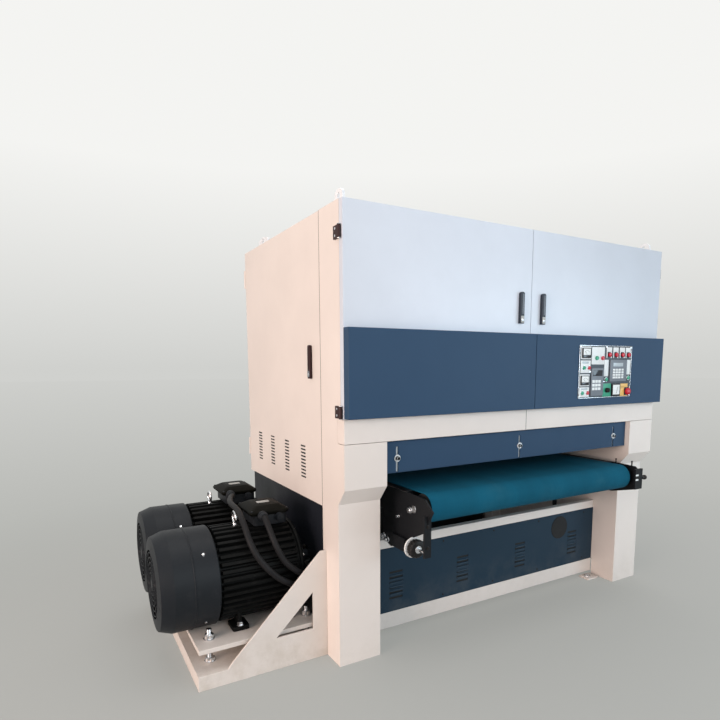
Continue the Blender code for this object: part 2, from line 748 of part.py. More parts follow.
# ---------------------------------------------------------------- sanding heads
def head_frame(name, y):
    """Head beam between the bearing walls, with the two arms that carry the rollers."""
    solids = [box((leg_w + gap, body_w - leg_w - gap), (y - head_beam_half, y + head_beam_half), head_beam_z)]
    tunnel = box((leg_w - 0.01, body_w - leg_w + 0.01),
                 (y - head_beam_half + column_wall, y + head_beam_half - column_wall),
                 (head_beam_z[0] + column_wall, head_beam_z[1] - column_wall))
    bores = []
    for side in ("left", "right"):
        x = across(side, arm_x, arm_x + arm_t)
        solids.append(box(x, (y - arm_half, y + arm_half), (drum_z - arm_half, tension_z + arm_half)))
        bores.append(bore("x", (y, drum_z), drum_shaft_r, x[0] - 0.01, x[1] + 0.01))
        bores.append(bore("x", (y, tension_z), tension_shaft_r, x[0] - 0.01, x[1] + 0.01))
    return piece(name, "cream_paint", solids, [joined(bores), tunnel])


def contact_drum(name, y):
    """Rubber-covered contact drum with its shaft and drive pulley."""
    profile = ((pulley_x, drum_pulley_r), (pulley_x + pulley_w, drum_pulley_r),
               (pulley_x + pulley_w, drum_shaft_r), (drum_left, drum_shaft_r), (drum_left, drum_r),
               (drum_left + drum_w, drum_r), (drum_left + drum_w, drum_shaft_r),
               (body_w - arm_x + 0.004, drum_shaft_r))
    return piece(name, "drum_rubber", [turned("x", (y, drum_z), profile)], pivot=(drum_left, y, drum_z))


def tension_roller(name, y):
    """Upper roller that tensions and tracks the abrasive belt."""
    profile = ((arm_x - 0.004, tension_shaft_r), (drum_left, tension_shaft_r), (drum_left, tension_r),
               (drum_left + drum_w, tension_r), (drum_left + drum_w, tension_shaft_r),
               (body_w - arm_x + 0.004, tension_shaft_r))
    return piece(name, "roller_alloy", [turned("x", (y, tension_z), profile)],
                 pivot=(drum_left, y, tension_z))


def abrasive_belt(name, y):
    """Endless abrasive belt round the drum and the tension roller."""
    solid = belt("x", (y, drum_z), abrasive_r, (y, tension_z), tension_belt_r, abrasive_t,
                 drum_left + 0.004, drum_left + drum_w - 0.004)
    return piece(name, "abrasive", [solid])


def pressure_roller(name, y):
    """Hold-down roller between the bearing walls."""
    left = wall_x - 0.005
    profile = ((left, press_shaft_r), (drum_left, press_shaft_r), (drum_left, press_r),
               (drum_left + drum_w, press_r), (drum_left + drum_w, press_shaft_r),
               (body_w - left, press_shaft_r))
    return piece(name, "drum_rubber", [turned("x", (y, press_z), profile)], pivot=(drum_left, y, press_z))


# ---------------------------------------------------------------- motors
def motor_mount():
    """Tray on the floor with two gussets and the plate on four studs that carries the motors."""
    right = -gap
    outer = box((mount_left, right), (mount_front, mount_rear), (0.0, tray_h))
    inside = box((mount_left + tray_wall, right - tray_wall),
                 (mount_front + tray_wall, mount_rear - tray_wall), (-weld, tray_h - tray_wall))
    plate_top = motor_z - motor_height - gap
    plate = box((mount_left + 0.012, -0.030), (mount_front + gusset_t + 0.015, mount_rear - 0.020),
                (plate_top - plate_t, plate_top))
    solids = [outer, plate]
    for x in stud_x:
        for y in stud_y:
            solids.append(rod("z", (x, y), stud_r, tray_h - 0.004, plate_top + 0.045, small_steps))
            solids.append(rod("z", (x, y), 2 * stud_r, tray_h - 0.004, tray_h + 0.014, 6))
            solids.append(rod("z", (x, y), 1.8 * stud_r, plate_top - 0.004, plate_top + 0.018, 6))
    gusset = ((right, tray_h - 0.005), (right, 0.505), (-0.030, 0.505), (-0.445, 0.090),
              (-0.470, tray_h - 0.005))
    window = ((-0.071, 0.320), (-0.248, 0.147), (-0.071, 0.147))
    cuts = [inside]
    for y in (mount_front, mount_rear - gusset_t):
        solids.append(prism("y", gusset, y, y + gusset_t))
        cuts.append(prism("y", window, y - gusset_t / 2, y + gusset_t * 1.5))
    return piece("motor_mount", "cream_paint", solids, cuts)


def motor_housing(name, y):
    """Finned stator housing with its feet, end shields and terminal box."""
    count = 22
    outline = []
    for i in range(count):
        for share, radius in ((-0.16, motor_r), (-0.13, motor_fin_r), (0.13, motor_fin_r), (0.16, motor_r)):
            turn = 2 * math.pi * (i + share) / count
            outline.append((y + radius * math.cos(turn), motor_z + radius * math.sin(turn)))
    rim = fan_cover_r - sheet - gap
    solids = [prism("x", outline, motor_left + 0.004, motor_right),
              rod("x", (y, motor_z), rim, motor_left - 0.012, motor_left + 0.004),
              turned("x", (y, motor_z), ((motor_right - 0.004, 0.205), (motor_right + 0.014, 0.205),
                                         (motor_right + 0.026, 0.120), (motor_right + 0.040, 0.070)))]
    sole = motor_z - motor_height
    for x0, x1 in ((-0.400, -0.340), (-0.180, -0.120)):
        solids.append(box((x0, x1), (y - 0.178, y + 0.178), (sole, sole + 0.045)))
    solids.append(box(box_x, (y - box_half, y + box_half), (motor_z + 0.150, box_top)))
    shaft_hole = bore("x", (y, motor_z), motor_shaft_r, motor_left - 0.05, 0.0)
    return piece(name, "motor_black", solids, [shaft_hole])


def fan_cover(name, y, left):
    """Pressed fan cover, open towards the motor; left is the end of its straight barrel."""
    along, down = fan_bevel
    outer = ((motor_left, fan_cover_r), (left, fan_cover_r), (left - along, fan_cover_r - down),
             (left - along - fan_dome, fan_end_r))
    inner = ((motor_left + weld, fan_cover_r - sheet), (left, fan_cover_r - sheet),
             (left - along + sheet, fan_cover_r - down - sheet),
             (left - along - fan_dome + sheet, fan_end_r - sheet))
    return piece(name, "motor_black", [turned("x", (y, motor_z), outer)],
                 [turned("x", (y, motor_z), inner)])


def motor_rotor(name, y):
    """Rotor shaft with its cooling fan and drive pulley."""
    profile = ((-0.640, 0.060), (-0.630, 0.185), (-0.600, 0.185), (-0.590, 0.060), (-0.560, motor_shaft_r),
               (pulley_x, motor_shaft_r), (pulley_x, motor_pulley_r), (pulley_x + pulley_w, motor_pulley_r))
    return piece(name, "roller_alloy", [turned("x", (y, motor_z), profile)], pivot=(0.0, y, motor_z))


def drive_belt(name, y_motor, y_head):
    """V-belt set from the motor pulley up to the drum pulley."""
    clear = 1 / math.cos(math.pi / round_steps)
    x0 = pulley_x + (pulley_w - drive_belt_w) / 2
    solid = belt("x", (y_motor, motor_z), motor_pulley_r * clear + gap,
                 (y_head, drum_z), drum_pulley_r * clear + gap, drive_belt_t, x0, x0 + drive_belt_w)
    return piece(name, "drive_rubber", [solid])


def smooth_route(points, count):
    """Points along a Catmull-Rom curve through the route's own points."""
    ends = [points[0]] + list(points) + [points[-1]]
    spans = len(points) - 1
    route = []
    for i in range(count + 1):
        place_on = i / count * spans
        k = min(int(place_on), spans - 1)
        t = place_on - k
        a, b, c, d = (Vector(p) for p in ends[k:k + 4])
        route.append(0.5 * (2 * b + (c - a) * t + (2 * a - 5 * b + 4 * c - d) * t ** 2
                            + (3 * b - a - 3 * c + d) * t ** 3))
    return route


def motor_lead(name, points, count=30):
    """Round lead from a terminal box into the cabinet."""
    curve = bpy.data.curves.new(name, "CURVE")
    curve.dimensions = "3D"
    curve.bevel_depth = lead_r
    curve.bevel_resolution = 2
    curve.use_fill_caps = True
    route = smooth_route(points, count)
    spline = curve.splines.new("POLY")
    spline.points.add(len(route) - 1)
    for point, where in zip(spline.points, route):
        point.co = (*where, 1.0)
    item = bpy.data.objects.new(name, curve)
    bpy.context.scene.collection.objects.link(item)
    item.data.materials.append(materials["lead_rubber"])
    item.parent = machine
    return item


lead_routes = {
    "motor_lead_front": ((-0.235, 0.3702, 0.655), (-0.235, 0.350, 0.655), (-0.2345, 0.330, 0.648),
                         (-0.230, 0.295, 0.612), (-0.215, 0.255, 0.544), (-0.179, 0.236, 0.467), (-0.122, 0.232, 0.413),
                         (-0.062, 0.236, 0.373), (-0.022, 0.240, 0.350), (-0.004, 0.240, 0.348),
                         (0.0188, 0.240, 0.348)),
    "motor_lead_rear": ((-0.250, 0.8445, 0.660), (-0.250, 0.824, 0.660), (-0.254, 0.800, 0.662),
                        (-0.286, 0.715, 0.672), (-0.322, 0.580, 0.680), (-0.328, 0.440, 0.676), (-0.333, 0.340, 0.641),
                        (-0.324, 0.270, 0.563), (-0.293, 0.238, 0.493), (-0.229, 0.226, 0.415),
                        (-0.156, 0.230, 0.362), (-0.088, 0.236, 0.325), (-0.036, 0.240, 0.302),
                        (-0.008, 0.240, 0.298), (0.0188, 0.240, 0.298)),
}


def build():
    for side in ("left", "right"):
        side_frame(side)
        side_lower_panel(side)
        front_door(side)
        front_apron(side)
        front_hinge(side, "lower", hinge_low_z)
        front_hinge(side, "upper", hinge_high_z)
        side_door(side)
        front_handle(side)
        side_handle(side)
    base_frame()
    front_beam()
    guard_rail()
    lower_front_panel()
    rear_cover()
    roof_panel()
    control_panel()
    for i, x in enumerate(button_x):
        push_button("push_button_" + str(i + 1), (x, button_z), button_r, button_cap, "red_plastic")
    push_button("stop_button", estop_place, estop_r, estop_cap, "red_plastic")
    front_guard()
    table_bed()
    left_cheek()
    right_cheek()
    tracking_knob()
    feed_roller("feed_roller_front", feed_front_y)
    feed_roller("feed_roller_rear", feed_rear_y)
    feed_belt()
    motor_mount()
    for place_name, y_head, y_motor, left in zip(("front", "rear"), head_y, motor_y, fan_cover_left):
        head_frame("head_frame_" + place_name, y_head)
        contact_drum("contact_drum_" + place_name, y_head)
        tension_roller("tension_roller_" + place_name, y_head)
        abrasive_belt("abrasive_belt_" + place_name, y_head)
        motor_housing("motor_" + place_name, y_motor)
        fan_cover("fan_cover_" + place_name, y_motor, left)
        motor_rotor("rotor_" + place_name, y_motor)
        drive_belt("drive_belt_" + place_name, y_motor, y_head)
    for place_name, y in zip(("front", "middle", "rear"), press_y):
        pressure_roller("pressure_roller_" + place_name, y)
    for name, points in lead_routes.items():
        motor_lead(name, points)


build()
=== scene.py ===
import json
import math

import bmesh
import bpy
import numpy as np
from mathutils import Matrix, Vector


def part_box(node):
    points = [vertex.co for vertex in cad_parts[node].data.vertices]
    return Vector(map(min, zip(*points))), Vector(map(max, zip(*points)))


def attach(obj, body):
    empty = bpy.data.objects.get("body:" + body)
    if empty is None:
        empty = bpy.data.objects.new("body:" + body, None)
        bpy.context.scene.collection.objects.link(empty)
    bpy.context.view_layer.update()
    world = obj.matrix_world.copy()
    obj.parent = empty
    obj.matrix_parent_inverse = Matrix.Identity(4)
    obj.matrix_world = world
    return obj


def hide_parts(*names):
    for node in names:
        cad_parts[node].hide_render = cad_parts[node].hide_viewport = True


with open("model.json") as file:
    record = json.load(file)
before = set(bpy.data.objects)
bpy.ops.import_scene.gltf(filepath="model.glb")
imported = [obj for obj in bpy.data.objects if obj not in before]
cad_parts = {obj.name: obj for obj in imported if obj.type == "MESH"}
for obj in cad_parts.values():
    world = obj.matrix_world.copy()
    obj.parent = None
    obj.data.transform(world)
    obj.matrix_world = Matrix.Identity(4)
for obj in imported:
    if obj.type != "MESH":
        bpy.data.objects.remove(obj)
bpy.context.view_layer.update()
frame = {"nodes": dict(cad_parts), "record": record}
nodes = frame["nodes"]
bodyOf = {node: body for body, names in frame["record"]["behaviour"]["bodies"].items() for node in names}
slotOf = {part["node"]: part["material_slot"] for part in frame["record"]["subparts"]}
print("frame loaded:", len(nodes), "nodes")


class Wire:
    # one output socket of a material's graph; + - * / and ** add Math nodes
    def __init__(self, graph, made, socket):
        self.graph, self.made, self.socket = graph, made, socket

    def out(self, name):
        return Wire(self.graph, self.made, self.made.outputs[name])

    def maths(self, operation, first, second):
        return self.graph.node("ShaderNodeMath", {"operation": operation}, {0: first, 1: second})

    def __add__(self, other):
        return self.maths("ADD", self, other)

    def __radd__(self, other):
        return self.maths("ADD", other, self)

    def __sub__(self, other):
        return self.maths("SUBTRACT", self, other)

    def __rsub__(self, other):
        return self.maths("SUBTRACT", other, self)

    def __mul__(self, other):
        return self.maths("MULTIPLY", self, other)

    def __rmul__(self, other):
        return self.maths("MULTIPLY", other, self)

    def __truediv__(self, other):
        return self.maths("DIVIDE", self, other)

    def __pow__(self, other):
        return self.maths("POWER", self, other)


class Graph:
    # node tree of a new material, or of the world that is handed in, with its main shader
    def __init__(self, name, world=None):
        self.material = world or bpy.data.materials.new(name)
        self.material.use_nodes = True
        self.tree = self.material.node_tree
        self.shader = self.tree.nodes["Background" if world else "Principled BSDF"]

    def node(self, kind, settings=None, sockets=None):
        made = self.tree.nodes.new(kind)
        for key, value in (settings or {}).items():
            if key == "stops":
                ramp = made.color_ramp
                while len(ramp.elements) < len(value):
                    ramp.elements.new(0.5)
                for element, (place, colour) in zip(ramp.elements, value):
                    element.position, element.color = place, (*colour, 1.0)
            else:
                setattr(made, key, value)
        for key, value in (sockets or {}).items():
            self.feed(made.inputs[key], value)
        return Wire(self, made, made.outputs[0])

    def feed(self, socket, value):
        if isinstance(value, Wire):
            self.tree.links.new(value.socket, socket)
        elif isinstance(value, tuple) and len(value) == 3 and socket.type == "RGBA":
            socket.default_value = (*value, 1.0)
        else:
            socket.default_value = value

    def set(self, **values):
        for key, value in values.items():
            self.feed(self.shader.inputs[key.replace("_", " ")], value)

    def coords(self, scale=(1, 1, 1), turn=(0, 0, 0)):
        place = self.node("ShaderNodeTexCoord").out("Object")
        return self.node("ShaderNodeMapping", {}, {"Vector": place, "Scale": scale, "Rotation": turn})

    def noise(self, scale, detail=3.0, rough=0.5, place=None):
        wire = self.node("ShaderNodeTexNoise", {}, {"Vector": place or self.coords(), "Scale": scale,
                                                    "Detail": detail, "Roughness": rough})
        return wire.out("Fac") if "Fac" in wire.made.outputs else wire

    def smooth(self, value, low, high):
        # 0 below low, 1 above high, with a soft step between
        return self.node("ShaderNodeMapRange", {"interpolation_type": "SMOOTHSTEP"},
                         {"Value": value, "From Min": low, "From Max": high, "To Min": 0.0, "To Max": 1.0})

    def mix(self, factor, first, second, blend="MIX"):
        made = self.node("ShaderNodeMix", {"data_type": "RGBA", "blend_type": blend}).made
        self.feed(made.inputs[0], factor)
        self.feed(made.inputs[6], first)
        self.feed(made.inputs[7], second)
        return Wire(self, made, made.outputs[2])

    def bump(self, height, strength, distance, under=None):
        sockets = {"Height": height, "Strength": strength, "Distance": distance}
        if under:
            sockets["Normal"] = under
        return self.node("ShaderNodeBump", {}, sockets)

    def split(self):
        return self.node("ShaderNodeSeparateXYZ", {},
                         {"Vector": self.node("ShaderNodeTexCoord").out("Object")})


def shade(colour, factor):
    # a lighter or darker tone of the same colour
    return tuple(min(1.0, c * factor) for c in colour)


def powderCoat(name, colour, roughness=0.42, grain=420.0, depth=0.12, dust=0.35, scuff=0.5, gloss=0.5,
               paintedFalloff=None, lug=None):
    # sprayed coat: faint orange peel, slow tone drift, dry dust low down and a few rubbed marks
    g = Graph(name)
    drift = g.noise(1.7, 4.0, 0.6)
    mottle = g.noise(26.0, 3.0, 0.6)
    base = g.mix(g.smooth(drift, 0.3, 0.7), shade(colour, 0.955), shade(colour, 1.03))
    base = g.mix((mottle - 0.5) * 0.10 + 0.05, base, shade(colour, 0.86))
    low = 1 - g.smooth(g.split().out("Z"), 0.02, 0.34)
    grime = low * g.smooth(g.noise(7.0, 6.0, 0.7), 0.38, 0.72) * dust
    dusty = tuple(0.55 * c + 0.45 * d for c, d in zip(colour, (0.42, 0.36, 0.29)))
    base = g.mix(grime, base, dusty)
    streak = g.smooth(g.noise(9.0, 5.0, 0.75, g.coords((1.0, 1.0, 0.16))), 0.60, 0.78)
    base = g.mix(streak * 0.10 * scuff, base, shade(colour, 0.72))
    if paintedFalloff:
        # painted shade: the coat darkens towards both ends of a wide sheet, standing for the light's falloff
        # there;
        # its four numbers are the full tone's place, its reach, where the change ends, and the share lost
        # there
        across = g.split().out("X") - paintedFalloff[0]
        shadeShare = g.smooth((across * across) ** 0.5, paintedFalloff[1], paintedFalloff[2]) * paintedFalloff[3]
        base = g.mix(shadeShare, base, shade(colour, 0.55))
    if lug:
        # the lifting lugs above the roof line carry their own white coat
        base = g.mix(g.smooth(g.split().out("Z"), 1.9995, 2.0015), base, lug)
    rough = roughness + (g.noise(11.0, 4.0, 0.6) - 0.5) * 0.16 + grime * 0.35
    peel = g.noise(grain, 2.0, 0.5)
    g.set(Base_Color=base, Roughness=rough, Normal=g.bump(peel, depth, 0.0006))
    g.shader.inputs["Specular IOR Level"].default_value = gloss
    g.shader.inputs["Coat Weight"].default_value = 0.24 * gloss
    g.shader.inputs["Coat Roughness"].default_value = 0.25
    return g.material


def enamel(name, colour, roughness=0.40, gloss=0.3):
    # brushed-on enamel over a rough casting, with dust lying in the hollows
    g = Graph(name)
    sand = g.noise(160.0, 4.0, 0.65)
    lumps = g.noise(34.0, 3.0, 0.6)
    dust = g.smooth(g.noise(13.0, 6.0, 0.75), 0.52, 0.80)
    base = g.mix(dust * 0.10, colour, (0.13, 0.125, 0.12))
    g.set(Base_Color=base, Roughness=roughness + dust * 0.3 + (sand - 0.5) * 0.2,
          Normal=g.bump(sand, 0.35, 0.0007, g.bump(lumps, 0.18, 0.002)))
    g.shader.inputs["Specular IOR Level"].default_value = gloss
    return g.material


def machined(name, colour, roughness=0.28, along="x", metal=1.0):
    # turned or ground metal: fine lines round or along the piece and faint oil marks
    g = Graph(name)
    squeeze = {"x": (900.0, 12.0, 12.0), "y": (12.0, 900.0, 12.0), "z": (12.0, 12.0, 900.0)}[along]
    lines = g.noise(1.0, 2.0, 0.5, g.coords(squeeze))
    film = g.smooth(g.noise(14.0, 5.0, 0.7), 0.42, 0.78)
    base = g.mix(film * 0.35, colour, shade(colour, 0.62))
    g.set(Base_Color=base, Roughness=roughness + (lines - 0.5) * 0.22 + film * 0.12, Metallic=metal,
          Normal=g.bump(lines, 0.10, 0.0003))
    return g.material


def rubberSkin(name, colour, roughness=0.72, grain=700.0, gloss=0.25):
    # matt rubber with talc-like bloom
    g = Graph(name)
    fine = g.noise(grain, 3.0, 0.6)
    bloom = g.smooth(g.noise(8.0, 6.0, 0.7), 0.45, 0.8)
    base = g.mix(bloom * 0.18, colour, tuple(0.6 * c + 0.06 for c in colour))
    g.set(Base_Color=base, Roughness=roughness + (fine - 0.5) * 0.18, Normal=g.bump(fine, 0.25, 0.0004))
    g.shader.inputs["Specular IOR Level"].default_value = gloss
    return g.material


def feedRubber(name, colour):
    # conveyor cover: fine diamond tread, tone drift across the width, pale wear where boards run
    g = Graph(name)
    place = g.split()
    x, y = place.out("X"), place.out("Y")
    first = g.node("ShaderNodeMath", {"operation": "SINE"}, {0: (x + y) * 900.0})
    second = g.node("ShaderNodeMath", {"operation": "SINE"}, {0: (x - y) * 900.0})
    tread = first * second
    lanes = g.noise(1.0, 4.0, 0.65, g.coords((5.5, 0.5, 0.5)))
    patch = g.noise(5.0, 5.0, 0.65)
    base = g.mix(g.smooth(lanes, 0.3, 0.75), shade(colour, 0.86), shade(colour, 1.12))
    base = g.mix(g.smooth(patch, 0.52, 0.8) * 0.20, base, (0.055, 0.17, 0.21))
    fine = g.noise(650.0, 2.0, 0.5)
    g.set(Base_Color=base, Roughness=0.84 + (patch - 0.5) * 0.16,
          Normal=g.bump(tread, 0.22, 0.0006, g.bump(fine, 0.2, 0.0003)))
    g.shader.inputs["Specular IOR Level"].default_value = 0.1
    return g.material


def gritCloth(name, colour):
    # coated abrasive: coarse grain on cloth
    g = Graph(name)
    grit = g.node("ShaderNodeTexVoronoi", {"feature": "F1"},
                  {"Vector": g.coords(), "Scale": 900.0}).out("Distance")
    tone = g.noise(60.0, 4.0, 0.6)
    g.set(Base_Color=g.mix(g.smooth(tone, 0.3, 0.7), shade(colour, 0.7), shade(colour, 1.25)),
          Roughness=0.85 + (tone - 0.5) * 0.1, Normal=g.bump(grit, 0.6, 0.0008))
    return g.material


def moulded(name, colour, roughness=0.38, sparkle=0.12, gloss=0.4):
    # injection-moulded plastic with a fine spark-eroded grain
    g = Graph(name)
    fine = g.noise(1400.0, 2.0, 0.6)
    soft = g.noise(30.0, 4.0, 0.6)
    g.set(Base_Color=g.mix(g.smooth(soft, 0.3, 0.8) * 0.35, colour, shade(colour, 0.8)),
          Roughness=roughness + (soft - 0.5) * 0.14, Normal=g.bump(fine, sparkle, 0.0002))
    g.shader.inputs["Specular IOR Level"].default_value = gloss
    return g.material


def meterFace(name):
    # pale printed card with a slight yellowing
    g = Graph(name)
    tone = g.noise(60.0, 3.0, 0.6)
    g.set(Base_Color=g.mix(g.smooth(tone, 0.3, 0.8) * 0.5, (0.80, 0.81, 0.80), (0.70, 0.71, 0.68)),
          Roughness=0.30 + tone * 0.1)
    return g.material


finishes = {
    "cream_paint": powderCoat("creamCoat", (0.77, 0.695, 0.645), 0.46, dust=0.35, lug=(0.78, 0.81, 0.84)),
    # the pale doors' coat darkens towards both ends: painted shade of the light's falloff
    "pale_door": powderCoat("paleDoorCoat", (0.68, 0.72, 0.80), 0.36, dust=0.0, scuff=0.3,
                            paintedFalloff=(0.60, 0.15, 1.3, 0.45)),
    "navy_paint": powderCoat("navyCoat", (0.030, 0.066, 0.125), 0.50, grain=300.0, depth=0.22, dust=0.25,
                             gloss=0.12),
    "black_paint": powderCoat("blackSatin", (0.008, 0.009, 0.011), 0.50, grain=260.0, depth=0.2, dust=0.2,
                              gloss=0.15),
    "motor_black": enamel("motorEnamel", (0.0120, 0.0145, 0.0178), 0.47, 0.15),
    "teal_belt": feedRubber("feedRubber", (0.0055, 0.088, 0.145)),
    "ground_steel": machined("groundSteel", (0.60, 0.61, 0.63), 0.26),
    "roller_alloy": machined("rollerAlloy", (0.66, 0.67, 0.69), 0.34),
    "drum_rubber": rubberSkin("drumRubber", (0.030, 0.030, 0.032)),
    "abrasive": gritCloth("abrasiveCloth", (0.27, 0.085, 0.04)),
    "drive_rubber": rubberSkin("driveRubber", (0.022, 0.022, 0.023), 0.66, 300.0),
    "black_plastic": moulded("blackPlastic", (0.012, 0.011, 0.011), 0.42, 0.12, 0.22),
    "panel_grey": powderCoat("panelGrey", (0.028, 0.040, 0.055), 0.38, dust=0.0, gloss=0.3),
    "red_plastic": moulded("redPlastic", (0.50, 0.012, 0.030), 0.28),
    "lead_rubber": rubberSkin("leadSheath", (0.010, 0.010, 0.011), 0.55, 500.0, 0.15),
}
extras = {
    "brightSteel": machined("zincSteel", (0.74, 0.75, 0.77), 0.22, "z"),
    "whitePlate": moulded("whitePlate", (0.78, 0.80, 0.80), 0.34, 0.05),
    "greenPlastic": moulded("greenPlastic", (0.012, 0.30, 0.17), 0.30),
    "greyPlastic": moulded("greyPlastic", (0.155, 0.175, 0.205), 0.42),
    "screenGlass": moulded("screenGlass", (0.46, 0.52, 0.56), 0.12, 0.0),
    "darkGlass": moulded("darkGlass", (0.014, 0.020, 0.030), 0.10, 0.0),
    "orangePlate": moulded("orangePlate", (0.82, 0.50, 0.14), 0.36, 0.05),
    "meterCard": meterFace("meterCard"),
    "shadowBlack": moulded("hollowBlack", (0.008, 0.009, 0.010), 0.8, 0.0),
    "barrelBlack": enamel("barrelEnamel", (0.0040, 0.0044, 0.0044), 0.52, 0.08),
    "lidBrown": enamel("lidEnamel", (0.0048, 0.0048, 0.0036), 0.54, 0.05),
    # dark brown for the side doors' seams: painted shade of the gap
    "seamShadeBrown": rubberSkin("seamShadeRubber", (0.030, 0.015, 0.010), 0.7, 400.0, 0.15),
    "tagPlate": moulded("tagPlate", (0.42, 0.42, 0.40), 0.40, 0.05),
    "hingeBrown": moulded("hingeBrown", (0.034, 0.015, 0.016), 0.48, 0.1, 0.18),
    # the motor mount's coat is darker and dustier than the cream: real dust, and painted shade under the
    # motors
    "mountDustAndShade": powderCoat("mountCoat", (0.70, 0.645, 0.60), 0.52, dust=1.0, scuff=1.6),
    "handleBlue": moulded("handleBlue", (0.022, 0.030, 0.045), 0.40, 0.1, 0.3),
    # the lower side panels' coat is near black: painted shade under the side doors' overhang
    "sidePanelPaintedShade": powderCoat("sidePanelCoat", (0.013, 0.015, 0.021), 0.45, grain=300.0, depth=0.2, dust=0.1,
                            gloss=0.15),
    # a darker navy for the lower front panel and its louvres: painted shade under the feed table
    "lowNavyPaintedShade": powderCoat("lowNavyCoat", (0.014, 0.034, 0.056), 0.45, grain=300.0, depth=0.2, dust=0.2,
                          gloss=0.15),
}
print("finishes made:", len(finishes) + len(extras))


def finishPiece(mesh, name, material, body, angle=35.0):
    # object for a mesh: smooth but for sharp edges, in its material, riding on its body
    mesh.shade_smooth()
    mesh.set_sharp_from_angle(angle=math.radians(angle))
    piece = bpy.data.objects.new(name, mesh)
    bpy.context.scene.collection.objects.link(piece)
    piece.data.materials.append(material)
    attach(piece, body)
    return piece


def loft(name, rings, material, body, capped=True, closed=False, angle=35.0):
    # skin over rings of points, shape (rings, points, 3); a quad joins each point of a ring to the next
    # point and to the same two of the next ring
    rings = np.asarray(rings, float)
    count, around = rings.shape[:2]
    i = np.arange(count if closed else count - 1)[:, None]
    j = np.arange(around)[None, :]
    nextI, nextJ = (i + 1) % count, (j + 1) % around
    quads = np.stack([i * around + j, i * around + nextJ, nextI * around + nextJ, nextI * around + j], -1)
    faces = quads.reshape(-1, 4).tolist()
    if capped and not closed:
        faces += [list(range(around))[::-1], list(range((count - 1) * around, count * around))]
    mesh = bpy.data.meshes.new(name)
    mesh.from_pydata(rings.reshape(-1, 3).tolist(), [], faces)
    bm = bmesh.new()
    bm.from_mesh(mesh)
    bmesh.ops.remove_doubles(bm, verts=bm.verts, dist=1e-7)
    bmesh.ops.recalc_face_normals(bm, faces=bm.faces)
    bm.to_mesh(mesh)
    bm.free()
    return finishPiece(mesh, name, material, body, angle)


def spin(name, axis, centre, profile, material, body, steps=64, closed=False, angle=35.0, slot=None):
    # turned surface: each (along, radius) pair becomes a circle of that radius about the axis
    profile = np.asarray(profile, float)
    turn = np.linspace(0, 2 * np.pi, steps, endpoint=False)
    a = centre[0] + profile[:, 1:] * np.cos(turn)
    b = centre[1] + profile[:, 1:] * np.sin(turn)
    along = np.repeat(profile[:, :1], steps, 1)
    order = {"x": (along, a, b), "y": (a, along, b), "z": (a, b, along)}[axis]
    return loft(name, np.stack(order, -1), material, body, not closed, closed, angle)


def roundedOutline(low, high, corner, steps=5):
    # rectangle whose corners are quarter circles about four centres, as points in order
    corner = max(min(corner, (high[0] - low[0]) / 2, (high[1] - low[1]) / 2), 1e-5)
    centreX = np.array([high[0] - corner, low[0] + corner, low[0] + corner, high[0] - corner])
    centreY = np.array([high[1] - corner, high[1] - corner, low[1] + corner, low[1] + corner])
    turn = np.linspace(0, np.pi / 2, steps) + (np.arange(4) * np.pi / 2)[:, None]
    x = centreX[:, None] + corner * np.cos(turn)
    y = centreY[:, None] + corner * np.sin(turn)
    return np.stack([x, y], -1).reshape(-1, 2)


def inPlane(axis, outline, along):
    # a flat outline set square to an axis, at one place along it
    a, b = outline[:, 0], outline[:, 1]
    c = np.full(len(a), float(along))
    return np.stack({"x": (c, a, b), "y": (a, c, b), "z": (a, b, c)}[axis], -1)


def slab(name, axis, low, high, material, body, corner=0.004, edge=0.001, steps=5):
    # block with rounded corners; its rim is a quarter round carried in by edge at both ends
    keep = [k for k in range(3) if "xyz"[k] != axis]
    n = "xyz".index(axis)
    lo2, hi2 = [low[k] for k in keep], [high[k] for k in keep]
    edge = min(edge, (high[n] - low[n]) / 2.01)
    turns = np.linspace(0, np.pi / 2, 4)
    levels = [(edge * (1 - math.sin(t)), low[n] + edge * (1 - math.cos(t))) for t in turns]
    levels += [(inset, low[n] + high[n] - along) for inset, along in levels[::-1]]
    rings = []
    for inset, along in levels:
        outline = roundedOutline([v + inset for v in lo2], [v - inset for v in hi2], corner - inset * 0.5,
                                 steps)
        rings.append(inPlane(axis, outline, along))
    return loft(name, rings, material, body)


def tube(name, path, radius, material, body, around=16, closed=False):
    # round bar along a path: each ring lies square to the path's direction
    path = np.asarray(path, float)
    ahead = np.roll(path, -1, 0) - np.roll(path, 1, 0)
    if not closed:
        ahead[0], ahead[-1] = path[1] - path[0], path[-1] - path[-2]
    ahead /= np.linalg.norm(ahead, axis=1)[:, None]
    side = np.cross(ahead, (0.31, 0.17, 0.93))
    side /= np.linalg.norm(side, axis=1)[:, None]
    up = np.cross(ahead, side)
    turn = np.linspace(0, 2 * np.pi, around, endpoint=False)
    rings = path[:, None] + radius * (side[:, None] * np.cos(turn)[None, :, None]
                                      + up[:, None] * np.sin(turn)[None, :, None])
    return loft(name, rings, material, body, not closed, closed)


def hexHead(name, axis, centre, along, out, across, material, body, washer=0.0):
    # hexagon bolt head with a chamfered crown on a washer; out is its height, signed along the axis
    turn = np.linspace(0, 2 * np.pi, 24, endpoint=False)
    flats = across / 2 / np.cos((turn % (np.pi / 3)) - np.pi / 6)
    rings = []
    if washer:
        for share, height in ((1.0, 0.0), (1.0, 0.16), (0.94, 0.2)):
            ring = np.stack([centre[0] + washer * share * np.cos(turn),
                             centre[1] + washer * share * np.sin(turn)], -1)
            rings.append(inPlane(axis, ring, along + out * height))
    for share, height in ((1.0, 0.2), (1.0, 0.85), (0.90, 1.0)):
        radius = flats * share if share == 1.0 else np.minimum(flats, across / 2) * share
        ring = np.stack([centre[0] + radius * np.cos(turn), centre[1] + radius * np.sin(turn)], -1)
        rings.append(inPlane(axis, ring, along + out * height))
    return loft(name, rings, material, body, angle=25.0)


